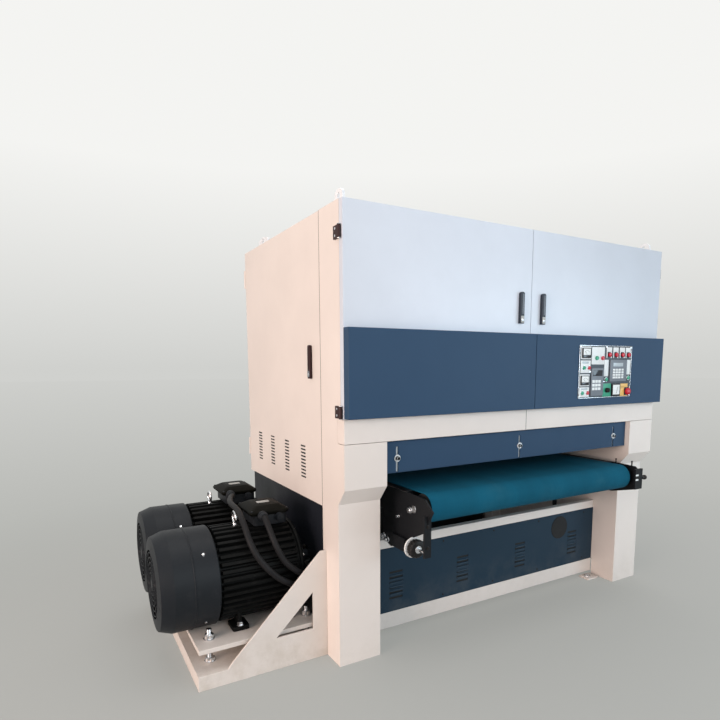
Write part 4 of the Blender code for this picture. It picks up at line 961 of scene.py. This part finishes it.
def frontHandle(side, x):
    # the node's grip with rounder edges, its lock on a small plate, and a raised rib above in lighter grey, a
    # painted highlight streak
    node, z = "front_%s_handle" % side, doorLook["frontLockZ"]
    refined(node, doorLook["gripRound"], 3, material=extras["handleBlue"])
    lock(node, "y", (x, z), -0.0170, -1)
    slab(node + "_lockPlate", "y", spot(x - 0.0104, -0.0182, z - 0.014), spot(x + 0.0104, -0.0168, z + 0.019),
         extras["tagPlate"], node, 0.003, 0.0004)
    slab(node + "_key", "y", spot(x - 0.0008, -0.0196, z - 0.0048), spot(x + 0.0008, -0.0190, z + 0.0048),
         extras["shadowBlack"], node, 0.0004, 0.0001, steps=2)
    slab(node + "_rib", "y", spot(x - 0.0022, -0.0184, 1.588), spot(x + 0.0060, -0.0165, 1.686),
         extras["greyPlastic"], node, 0.003, 0.0009)


def sideHandle(side, face, out):
    # the grip lies a little flatter than its solid, so that the lock's rim is the highest point
    node, (y, z) = side + "_side_handle", doorLook["sideLock"]
    grip = refined(node, doorLook["gripRound"], 3, material=extras["hingeBrown"])
    points = np.empty(len(grip.data.vertices) * 3)
    grip.data.vertices.foreach_get("co", points)
    points = points.reshape(-1, 3)
    limit = datum.x + face + out * doorLook["sideProud"]
    points[:, 0] = np.minimum(points[:, 0] * out, limit * out) * out
    grip.data.vertices.foreach_set("co", points.ravel())
    grip.data.update()
    proud = face + out * doorLook["sideProud"]
    lock(node, "x", (y, z), proud, out)
    lowX, highX = sorted((proud + out * 0.0014, proud - out * 0.0005))
    slab(node + "_rib", "x", spot(lowX, y - 0.0035, z + 0.025), spot(highX, y + 0.0035, z + 0.125),
         extras["hingeBrown"], node, 0.003, 0.0009)
    slab(node + "_lockPlate", "x", spot(lowX, y - 0.0104, z - 0.011), spot(highX, y + 0.0104, z + 0.017),
         extras["greyPlastic"], node, 0.003, 0.0004)


def doorSeamShade(side, face, out):
    # dark strip in the seam between the side door's front edge and the cabinet's strip: painted shade of the
    # gap
    low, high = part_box(side + "_side_door")
    sealX = sorted((datum.x + face - out * 0.0002, datum.x + face - out * 0.0030))
    slab(side + "_doorSeal", "x", (sealX[0], low.y - 0.0003 - doorLook["seamWide"], low.z),
         (sealX[1], low.y - 0.0003, high.z), extras["seamShadeBrown"], "frame", 0.0005, 0.0002, steps=2)


def hingeFittings(side, axisX, face, out):
    # pin ends above and below each hinge block, and two countersunk screws in its leaf
    for level, low in doorLook["hingeZ"]:
        for end, z, up in (("foot", low, -1), ("head", low + doorLook["hingeHigh"], 1)):
            turned("hingePin_%s_%s_%s" % (side, level, end), "z", (axisX, doorLook["hingeY"]),
                   [(z + up * 0.0001, 0.0), (z + up * 0.0001, 0.0075), (z + up * 0.0022, 0.0070),
                    (z + up * 0.0030, 0.0)], extras["brightSteel"], steps=32)
        for k, rise in enumerate(doorLook["screwRise"]):
            turned("hingeScrew_%s_%s_%d" % (side, level, k), "x", (0.045, low + rise),
                   [(face - out * 0.0004, 0.0), (face - out * 0.0004, 0.0050), (face + out * 0.0012, 0.0045),
                    (face + out * 0.0018, 0.0)], extras["brightSteel"], steps=24)


for side, x in doorLook["frontLocks"]:
    frontHandle(side, x)
for side, face, out in sides:
    sideHandle(side, face, out)
    doorSeamShade(side, face, out)
for side, axisX, face, out in doorLook["hingeX"]:
    hingeFittings(side, axisX, face, out)
print("doors fitted")


panel = {"left": 1.370, "right": 1.807, "top": 1.444, "foot": 1.163, "face": -0.0483, "bodyFace": 0.0045,
         "pushX": (1.610, 1.666, 1.722, 1.775), "pushZ": 1.395, "stop": (1.776, 1.192), "stemEnd": -0.0363}
panelBody = "front_right_door"


def panelX(u):
    # place across the panel's width; panelZ is the place down its height
    return panel["left"] + (panel["right"] - panel["left"]) * u + datum.x


def panelZ(v):
    return panel["top"] - (panel["top"] - panel["foot"]) * v


panelY = panel["face"] + datum.y
refined("control_panel", 0.0008, 2)


def panelPlate(name, u, v, proud, material, corner=0.003, start=0.0):
    # plate over a range of the panel's face, from start to proud above it
    low = (panelX(u[0]), panelY - start - proud, panelZ(v[1]))
    high = (panelX(u[1]), panelY - start + 0.0002, panelZ(v[0]))
    return slab(name, "y", low, high, material, panelBody, corner, min(0.0008, proud * 0.4))


def panelButton(name, u, v, radius, material, height=0.007):
    # bright turned ring round a domed cap
    x, z = panelX(u), panelZ(v)
    spin(name + "Ring", "y", (x, z), [(panelY + 0.0002, radius * 0.7), (panelY + 0.0002, radius * 1.22),
                                      (panelY - 0.0018, radius * 1.20), (panelY - 0.0028, radius * 1.08),
                                      (panelY - 0.0028, radius * 0.7)], extras["brightSteel"], panelBody,
         48, closed=True)
    dome = [(panelY, 0.0), (panelY, radius * 0.96), (panelY - height * 0.72, radius * 0.96),
            (panelY - height * 0.90, radius * 0.88), (panelY - height, radius * 0.70),
            (panelY - height * 1.02, 0.0)]
    spin(name + "Cap", "y", (x, z), dome, material, panelBody, 48)


def meter(name, u, v):
    # moving-coil instrument: moulded bezel, printed card, scale arc, needle and lower bar
    panelPlate(name + "Bezel", u, v, 0.007, finishes["black_plastic"], 0.004)
    du, dv = u[1] - u[0], v[1] - v[0]
    inner = ((u[0] + du * 0.07, u[1] - du * 0.07), (v[0] + dv * 0.07, v[0] + dv * 0.70))
    panelPlate(name + "Card", *inner, 0.0006, extras["meterCard"], 0.002, 0.0068)
    panelPlate(name + "Bar", (u[0] + du * 0.09, u[1] - du * 0.09), (v[0] + dv * 0.74, v[0] + dv * 0.92),
               0.0006, extras["darkGlass"], 0.0015, 0.0068)
    x0, z0 = panelX((u[0] + u[1]) / 2), panelZ(v[0] + dv * 0.66)
    reach = (panelX(u[1]) - panelX(u[0])) * 0.33
    turn = np.linspace(-0.95, 0.95, 24)
    arc = inPlane("y", np.stack([x0 + reach * np.sin(turn), z0 + reach * np.cos(turn)], -1), panelY - 0.0076)
    tube(name + "Arc", arc, 0.0005, extras["shadowBlack"], panelBody, 6)
    needle = [(x0, panelY - 0.0077, z0), (x0 - reach * 0.62, panelY - 0.0077, z0 + reach * 0.62)]
    tube(name + "Needle", needle, 0.0005, extras["shadowBlack"], panelBody, 6)


def keypad(name, u, v, glass, display, keys, columns, rows):
    # case with a display and a grid of keys; each key leaves a margin round it
    panelPlate(name + "Case", u, v, 0.005, extras["greyPlastic"], 0.005)
    panelPlate(name + "Display", *display, 0.0007, extras[glass], 0.0015, 0.0048)
    (u0, u1), (v0, v1) = keys
    du, dv = (u1 - u0) / columns, (v1 - v0) / rows
    for c in range(columns):
        for r in range(rows):
            a, b = u0 + (u1 - u0) * c / columns, v0 + (v1 - v0) * r / rows
            panelPlate("%sKey_%d_%d" % (name, c, r), (a + du * 0.08, a + du * 0.92),
                       (b + dv * 0.12, b + dv * 0.88), 0.0012, extras["whitePlate"], 0.0012, 0.0048)


# places on the panel's face: u runs across its width and v down its height, as shares from 0 to 1
layout = {
    "meters": (("upperMeter", (0.04, 0.19), (0.05, 0.24)), ("lowerMeter", (0.03, 0.175), (0.57, 0.75))),
    "meterPlates": (("upperLeftPlate", (0.025, 0.205), (0.025, 0.262)),
                    ("upperStartPlate", (0.025, 0.205), (0.285, 0.520)),
                    ("lowerLeftPlate", (0.018, 0.195), (0.545, 0.772)),
                    ("lowerStartPlate", (0.018, 0.195), (0.790, 0.975))),
    "windows": (("upperWindow", (0.05, 0.165), (0.305, 0.345)),
                ("lowerWindow", (0.05, 0.165), (0.808, 0.838))),
    "rims": (("rimLeft", (0.0, 0.006), (0.0, 1.0)), ("rimRight", (0.994, 1.0), (0.0, 1.0)),
             ("rimTop", (0.0, 1.0), (0.0, 0.008)), ("rimFoot", (0.0, 1.0), (0.992, 1.0))),
    "buttons": (("startUpper", 0.085, 0.425, extras["greenPlastic"]),
                ("haltUpper", 0.178, 0.425, finishes["red_plastic"]),
                ("startLower", 0.070, 0.900, extras["greenPlastic"]),
                ("haltLower", 0.168, 0.900, finishes["red_plastic"]),
                ("startMiddle", 0.51, 0.65, extras["greenPlastic"]),
                ("startRight", 0.945, 0.625, extras["greenPlastic"])),
    "feedPlate": ((0.22, 0.46), (0.03, 0.36)),
    "feedCaps": (("feedStart", 0.31, 0.24, extras["greenPlastic"]),
                 ("feedHalt", 0.42, 0.24, finishes["red_plastic"])),
    "driveUnit": ((0.22, 0.45), (0.43, 0.96), "darkGlass", ((0.245, 0.425), (0.47, 0.58)),
                  ((0.235, 0.40), (0.65, 0.86)), 3, 3),
    "logicUnit": ((0.57, 0.90), (0.27, 0.69), "screenGlass", ((0.63, 0.82), (0.33, 0.40)),
                  ((0.62, 0.78), (0.44, 0.64)), 3, 4),
    "pushU": (0.548, 0.677, 0.806, 0.926),
    "logicSide": ((0.795, 0.835), 0.445, 0.483, 0.05),
    "strips": (("leftStrip", (0.465, 0.545), (0.27, 0.59)), ("rightStrip", (0.91, 0.98), (0.27, 0.56))),
    "modePlate": ((0.45, 0.61), (0.73, 0.985)),
    "modeKnob": (0.53, 0.86),
    "loadFrame": ((0.625, 0.785), (0.735, 0.975)),
    "loadCard": ((0.64, 0.77), (0.76, 0.95)),
    "loadNeedle": ((0.705, 0.93), (0.735, 0.80)),
    "stopPlates": (("stopPlateTop", (0.80, 0.945), (0.74, 0.815)),
                   ("stopPlateFoot", (0.80, 0.945), (0.972, 0.988)),
                   ("stopPlateLeft", (0.80, 0.879), (0.80, 0.98)),
                   ("stopPlateRight", (0.979, 0.990), (0.80, 0.96))),
    "screws": ((0.02, 0.03), (0.98, 0.03), (0.02, 0.97), (0.985, 0.97), (0.5, 0.025), (0.47, 0.69),
               (0.205, 0.50)),
}


def flatCap(name, u, v, material):
    # straight-sided button with a narrow bevel
    spin(name + "Cap", "y", (panelX(u), panelZ(v)), [(panelY - 0.0012, 0.0), (panelY - 0.0012, 0.0108),
                                                     (panelY - 0.008, 0.0108), (panelY - 0.0095, 0.0095),
                                                     (panelY - 0.0098, 0.0)], material, panelBody, 48)


def pushPlates(k, x):
    # a plate above the button and one at each side of its bore, which stays clear
    panelPlate("buttonPlateTop_%d" % k, (x - 0.050, x + 0.050), (0.030, 0.118), 0.0016,
               extras["whitePlate"], 0.002)
    for side in (-1, 1):
        ends = sorted((x + side * 0.050, x + side * 0.0335))
        panelPlate("buttonPlateSide_%d_%d" % (k, side + 1), ends, (0.118, 0.235), 0.0016,
                   extras["whitePlate"], 0.001)


def modeSelector():
    # tapered knob with a raised pointer, on its own plate
    panelPlate("modePlate", *layout["modePlate"], 0.0012, extras["greenPlastic"], 0.002)
    x, z = panelX(layout["modeKnob"][0]), panelZ(layout["modeKnob"][1])
    spin("modeKnob", "y", (x, z), [(panelY - 0.001, 0.0), (panelY - 0.001, 0.014), (panelY - 0.008, 0.013),
                                   (panelY - 0.016, 0.011), (panelY - 0.0165, 0.0)],
         finishes["black_plastic"], panelBody, 48)
    slab("modePointer", "y", (x - 0.0028, panelY - 0.0195, z - 0.012),
         (x + 0.0028, panelY - 0.010, z + 0.012), finishes["black_plastic"], panelBody, 0.002, 0.0008)


def loadMeter():
    # bezel, card and a straight needle
    panelPlate("loadMeterFrame", *layout["loadFrame"], 0.006, finishes["black_plastic"], 0.003)
    panelPlate("loadMeterCard", *layout["loadCard"], 0.0006, extras["meterCard"], 0.002, 0.0058)
    needle = [(panelX(u), panelY - 0.0067, panelZ(v)) for u, v in layout["loadNeedle"]]
    tube("loadMeterNeedle", needle, 0.0006, extras["shadowBlack"], panelBody, 6)


def panelScrew(k, u, v):
    # low crowned screw head
    spin("panelScrew_%d" % k, "y", (panelX(u), panelZ(v)),
         [(panelY + 0.0002, 0.0), (panelY + 0.0002, 0.0042), (panelY - 0.0014, 0.0036),
          (panelY - 0.0019, 0.0)], extras["brightSteel"], panelBody, 24)


for place in layout["meters"]:
    meter(*place)
for place in layout["meterPlates"]:
    panelPlate(*place, 0.0012, extras["whitePlate"], 0.002)
for place in layout["windows"]:
    panelPlate(*place, 0.0006, extras["screenGlass"], 0.001, 0.0011)
for place in layout["rims"]:
    panelPlate(*place, 0.0008, extras["brightSteel"], 0.0005)
for name, u, v, material in layout["buttons"]:
    panelButton(name, u, v, 0.0105, material)
panelPlate("feedPlate", *layout["feedPlate"], 0.0014, extras["whitePlate"], 0.003)
for place in layout["feedCaps"]:
    flatCap(*place)
keypad("driveUnit", *layout["driveUnit"])
for k, x in enumerate(layout["pushU"]):
    pushPlates(k, x)
keypad("logicUnit", *layout["logicUnit"])
sideU, keyTop, keyFoot, keyPitch = layout["logicSide"]
for r in range(4):
    panelPlate("logicSideKey_%d" % r, sideU, (keyTop + keyPitch * r, keyFoot + keyPitch * r), 0.0012,
               extras["whitePlate"], 0.0012, 0.0048)
for place in layout["strips"]:
    panelPlate(*place, 0.0012, extras["whitePlate"], 0.002)
modeSelector()
loadMeter()
# the stop plate is an open frame, so that the mushroom's bore stays clear
for place in layout["stopPlates"]:
    panelPlate(*place, 0.0012, extras["orangePlate"], 0.001)
for k, (u, v) in enumerate(layout["screws"]):
    panelScrew(k, u, v)
back, stem = panel["face"] - panel["bodyFace"], panel["stemEnd"]
for k, x in enumerate(panel["pushX"]):
    turnedNode("push_button_%d" % (k + 1), "y", (x, panel["pushZ"]),
               [(back - 0.008, 0.0), (back - 0.0078, 0.0080), (back - 0.0068, 0.0106),
                (back - 0.0052, 0.0119), (back - 0.0012, 0.0120), (back, 0.0112), (back, 0.008),
                (stem, 0.008)], 48)
turnedNode("stop_button", "y", panel["stop"], [(back - 0.016, 0.0), (back - 0.0157, 0.0100),
                                               (back - 0.0142, 0.0150), (back - 0.0105, 0.0190),
                                               (back - 0.007, 0.0200), (back - 0.002, 0.0196),
                                               (back, 0.0185), (back, 0.008), (stem, 0.008)], 64)
print("operating panel detailed")


louvre = {"groups": ((0.363, 0.446), (0.793, 0.873), (1.223, 1.303), (1.669, 1.746)), "low": 0.180,
          "pitch": 0.0198, "rows": 6, "slot": 0.011, "rise": 0.0085, "proud": 0.0065, "sheetY": 0.2242,
          "wall": 0.0012, "lap": 0.0004,
          "fixX": (0.300, 0.700, 1.055, 1.410, 1.810), "fixZ": (0.125, 0.420)}


def pressedLouvre(name, x0, x1, sill):
    # outer quarter ellipse from the sheet down to the lip, then back along the sheet metal's thickness;
    # both reach least at the ends, by the root of one minus the sixth power of the place along
    wall, lap = louvre["wall"], louvre["lap"]
    along = np.linspace(-1, 1, 15)[:, None]
    arc = np.linspace(0, np.pi / 2, 7)
    share = np.sqrt(np.clip(1 - along ** 6, 0, 1))
    depth, rise = louvre["proud"] * share, louvre["rise"] * (0.35 + 0.65 * share)
    inner = lap - (depth - wall * share) * np.sin(arc[::-1])
    y = louvre["sheetY"] + np.hstack([-depth * np.sin(arc), inner])
    z = sill + np.hstack([rise * np.cos(arc), (rise - wall) * np.cos(arc[::-1])])
    x = (x0 + x1) / 2 + along * (x1 - x0) / 2 * 1.02 + np.zeros_like(y)
    # the louvres take the darker navy, painted shade
    loft(name, np.stack([x, y, z], -1) + np.array(datum), extras["lowNavyPaintedShade"], "frame")


for g, (x0, x1) in enumerate(louvre["groups"]):
    for r in range(louvre["rows"]):
        pressedLouvre("louvre_%d_%d" % (g, r), x0, x1, louvre["low"] + louvre["pitch"] * r + louvre["slot"])
turned("panelCap", "y", (1.590, 0.355), [(0.2243, 0.0), (0.2243, 0.070), (0.2215, 0.068), (0.2205, 0.060),
                                         (0.2203, 0.0)], extras["shadowBlack"], steps=72)
for k, x in enumerate(louvre["fixX"]):
    for z in louvre["fixZ"]:
        turned("panelFix_%d_%d" % (k, round(z * 1000)), "y", (x, z),
               [(0.2243, 0.0), (0.2243, 0.0055), (0.2225, 0.0048), (0.2218, 0.0)],
               finishes["black_plastic"], steps=24)
slab("beamSeam", "y", spot(1.0442, -0.0001, 1.0125), spot(1.0458, 0.0018, 1.1145), extras["shadowBlack"],
     "frame", 0.0003, 0.0001)
# black sheets behind the louvres and inside the rear cover: painted shade of the machine's inside
for g, (x0, x1) in enumerate(louvre["groups"]):
    slab("louvreShade_%d" % g, "y", spot(x0 - 0.012, 0.2276, 0.165), spot(x1 + 0.012, 0.2290, 0.315),
         extras["shadowBlack"], "frame", 0.004, 0.0004)
slab("rearShade", "y", spot(0.230, 1.2340, 0.030), spot(1.880, 1.2400, 0.430), extras["shadowBlack"], "frame",
     0.01, 0.001)
print("louvres placed")


mount = {"studX": (-0.514, -0.058), "studY": (0.300, 1.120), "plateDrop": 0.2253, "threadR": 0.0108,
         "threadDeep": 0.0009, "threadPitch": 0.002}
plateTop = machine["motorZ"] - mount["plateDrop"]


def thread(name, centre, low, high):
    # rolled thread: the stud's radius rises and falls with height
    heights = np.arange(low, high, 0.0005)
    wave = np.abs(((heights / mount["threadPitch"]) % 1) * 2 - 1)
    radii = mount["threadR"] + mount["threadDeep"] * wave
    profile = np.pad(np.stack([heights, radii], -1), ((1, 1), (0, 0)), "edge")
    profile[[0, -1], 1] = 0.0
    spin(name, "z", centre, profile, extras["brightSteel"], "frame", 24)


studs = [(x + datum.x, y + datum.y) for x in mount["studX"] for y in mount["studY"]]
for k, centre in enumerate(studs):
    hexHead("studNutTop_%d" % k, "z", centre, plateTop + 0.0002, 0.024, 0.036, finishes["ground_steel"],
            "frame", washer=0.0235)
    hexHead("studNutFoot_%d" % k, "z", centre, 0.0650, 0.018, 0.038, extras["brightSteel"], "frame",
            washer=0.0245)
    thread("studThread_%d" % k, centre, 0.079, plateTop - 0.0205)
    thread("studTip_%d" % k, centre, plateTop + 0.018, plateTop + 0.0455)
# floor anchor beside the right leg
slab("anchorFoot", "z", spot(1.790, 0.150, 0.0), spot(1.882, 0.2235, 0.010), finishes["cream_paint"],
     "frame", 0.006, 0.001)
hexHead("anchorBolt", "z", (1.822 + datum.x, 0.186 + datum.y), 0.010, 0.014, 0.026,
        finishes["ground_steel"], "frame", washer=0.018)
for side, face, out in sides:
    # a black sheet inside the side door is painted shade behind its vents; a lid closes the rear column's
    # open top
    shadeX = sorted((face - out * 0.0004, face - out * 0.0050))
    slab(side + "_ventMat", "x", spot(shadeX[0], 0.380, 0.780), spot(shadeX[1], 1.130, 0.985),
         extras["shadowBlack"], side + "_side_door", 0.01, 0.0005)
    lidX = sorted((face - out * 0.0262, face - out * 0.2094))
    slab(side + "_columnLid", "z", spot(lidX[0], 1.1006, 1.9945), spot(lidX[1], 1.2394, 1.9995),
         finishes["cream_paint"], "frame", 0.003, 0.001)
print("mount fittings placed")


# rolled rims of the dust collars
collar = {"x": 1.055, "rim": [(2.1085, 0.0752), (2.1095, 0.0765), (2.1098, 0.0785), (2.1090, 0.0800),
                              (2.1060, 0.0806), (2.1000, 0.0806), (2.1000, 0.0801), (2.0300, 0.0801),
                              (2.0300, 0.0808), (2.0240, 0.0808), (1.9982, 0.0808), (1.9982, 0.0752)]}
for which, y in machine["headY"].items():
    turned("dustCollar_" + which, "z", (collar["x"], y), collar["rim"], finishes["cream_paint"], steps=80,
           closed=True, slot="cream_paint")
print("dust collars rolled")


# place, aim, size, power in watts and colour of each lamp
lamps = {
    "keyLight": ((1.2, -5.8, 2.7), (1.1, 0.0, 0.9), (5.0, 3.2), 129.0, (0.84, 0.94, 1.0)),
    "rightLight": ((5.2, -4.4, 1.5), (1.8, 0.0, 0.5), (2.6, 2.0), 88.0, (0.66, 0.86, 1.0)),
    "sideLight": ((-5.4, -1.6, 1.5), (-0.1, 0.1, 0.8), (3.2, 2.4), 270.0, (1.0, 0.80, 0.71)),
    "topLight": ((0.6, 0.4, 6.6), (0.6, 0.4, 0.0), (5.5, 4.5), 190.0, (1.0, 0.99, 0.98)),
    "backFill": ((5.5, 4.5, 3.6), (0.9, 0.6, 1.0), (4.0, 3.0), 70.0, (1.0, 1.0, 1.0)),
}
studio = {"ambient": 0.40, "ambientTint": (0.98, 0.99, 1.0), "floorNear": (0.47, 0.47, 0.455),
          "floorTone": (0.432, 0.437, 0.412), "horizon": (0.63, 0.635, 0.615),
          "zenith": (0.905, 0.905, 0.885), "zenithRise": 0.32, "shadowShare": 0.42, "floorReach": 60.0,
          "floorHeight": -0.0005, "viewFoot": (1.13, 2.12), "nearScale": 0.104, "shadowMiddle": (2.0, 2.4),
          "shadowEnds": (1.6, 4.2)}
view = {"place": (-1.1256, -2.1186, 1.3346), "yaw": 0.527927, "pitch": -0.124255, "roll": -0.003189,
        "lens": 27.06, "shift": (-0.0165, 0.1032)}


def staged(piece):
    return piece


def backdropRays(g):
    # 1 for rays that show the backdrop: straight from the camera, or by way of gloss or glass
    rays = g.node("ShaderNodeLightPath")
    return rays.out("Is Camera Ray") + rays.out("Is Glossy Ray") + rays.out("Is Transmission Ray")


def layFloor():
    # flat floor; seen far from the machine it keeps one even tone, so that it meets the background softly
    reach, height = studio["floorReach"], studio["floorHeight"]
    mesh = bpy.data.meshes.new("studioFloor")
    corners = [(x * reach, y * reach, height) for x, y in ((-1, -1), (1, -1), (1, 1), (-1, 1))]
    mesh.from_pydata(corners, [], [(0, 1, 2, 3)])
    piece = bpy.data.objects.new("studioFloor", mesh)
    bpy.context.scene.collection.objects.link(piece)
    g = Graph("floorPaint")
    split = g.split()
    # x and y run over the ground from the viewer's foot; near falls with the distance
    x, y = split.out("X") + studio["viewFoot"][0], split.out("Y") + studio["viewFoot"][1]
    near = ((x * x + y * y + 0.5) * studio["nearScale"]) ** -0.5
    # the upper half of a soft step: 0 far away, 1 close by
    level = g.smooth(near, -1.0, 1.0) * 2.0 - 1.0
    g.set(Base_Color=studio["floorNear"], Roughness=0.9)
    g.shader.inputs["Specular IOR Level"].default_value = 0.1
    tone = g.mix(level, studio["horizon"], studio["floorTone"])
    even = g.node("ShaderNodeEmission", {}, {"Color": tone, "Strength": 1.0})
    middleX, middleY = studio["shadowMiddle"]
    fromMachine = ((x - middleX) ** 2 + (y - middleY) ** 2) ** 0.5
    shadow = (1.0 - g.smooth(fromMachine, *studio["shadowEnds"])) * studio["shadowShare"]
    blend = g.node("ShaderNodeMixShader", {}, {0: (1.0 - shadow) * backdropRays(g), 2: even})
    g.tree.links.new(g.shader.outputs[0], blend.made.inputs[1])
    g.feed(g.tree.nodes["Material Output"].inputs["Surface"], blend)
    mesh.materials.append(g.material)
    return staged(piece)


def softbox(name, place, aim, size, power, colour):
    # rectangular area lamp turned towards its aim
    data = bpy.data.lights.new(name, "AREA")
    data.shape, data.size, data.size_y, data.energy, data.color = "RECTANGLE", size[0], size[1], power, colour
    lamp = bpy.data.objects.new(name, data)
    bpy.context.scene.collection.objects.link(lamp)
    lamp.location = place
    lamp.rotation_euler = (Vector(aim) - Vector(place)).to_track_quat("-Z", "Y").to_euler()
    return staged(lamp)


def lightWorld():
    # dim even light all round; backdrop rays see a sheet that brightens from the horizon upwards
    world = bpy.data.worlds.new("studioWorld")
    bpy.context.scene.world = world
    g = Graph("studioWorld", world)
    place = g.node("ShaderNodeTexCoord").out("Generated")
    rise = g.node("ShaderNodeSeparateXYZ", {}, {"Vector": place}).out("Z")
    share = g.node("ShaderNodeMapRange", {}, {"Value": rise, "From Max": studio["zenithRise"]})
    sky = g.mix(share, studio["horizon"], studio["zenith"])
    g.set(Color=g.mix(backdropRays(g), tuple(studio["ambient"] * c for c in studio["ambientTint"]), sky))


def placeCamera():
    # yaw is measured from +y towards +x, pitch upwards, and roll about the line of sight
    data = bpy.data.cameras.new("viewCamera")
    data.sensor_width, data.lens, data.clip_end = 36.0, view["lens"], 60.0
    data.shift_x, data.shift_y = view["shift"]
    camera = bpy.data.objects.new("viewCamera", data)
    bpy.context.scene.collection.objects.link(camera)
    cy, sy = math.cos(view["yaw"]), math.sin(view["yaw"])
    cp, sp = math.cos(view["pitch"]), math.sin(view["pitch"])
    cr, sr = math.cos(view["roll"]), math.sin(view["roll"])
    ahead, right = Vector((sy * cp, cy * cp, sp)), Vector((cy, -sy, 0.0))
    up = right.cross(ahead)
    turn = Matrix((cr * right + sr * up, -sr * right + cr * up, -ahead)).transposed().to_4x4()
    camera.matrix_world = Matrix.Translation(view["place"]) @ turn
    staged(camera)
    bpy.context.scene.camera = camera


layFloor()
for name, lamp in lamps.items():
    softbox(name, *lamp)
lightWorld()
placeCamera()
bpy.context.scene.view_settings.view_transform = "Standard"
print("studio set")
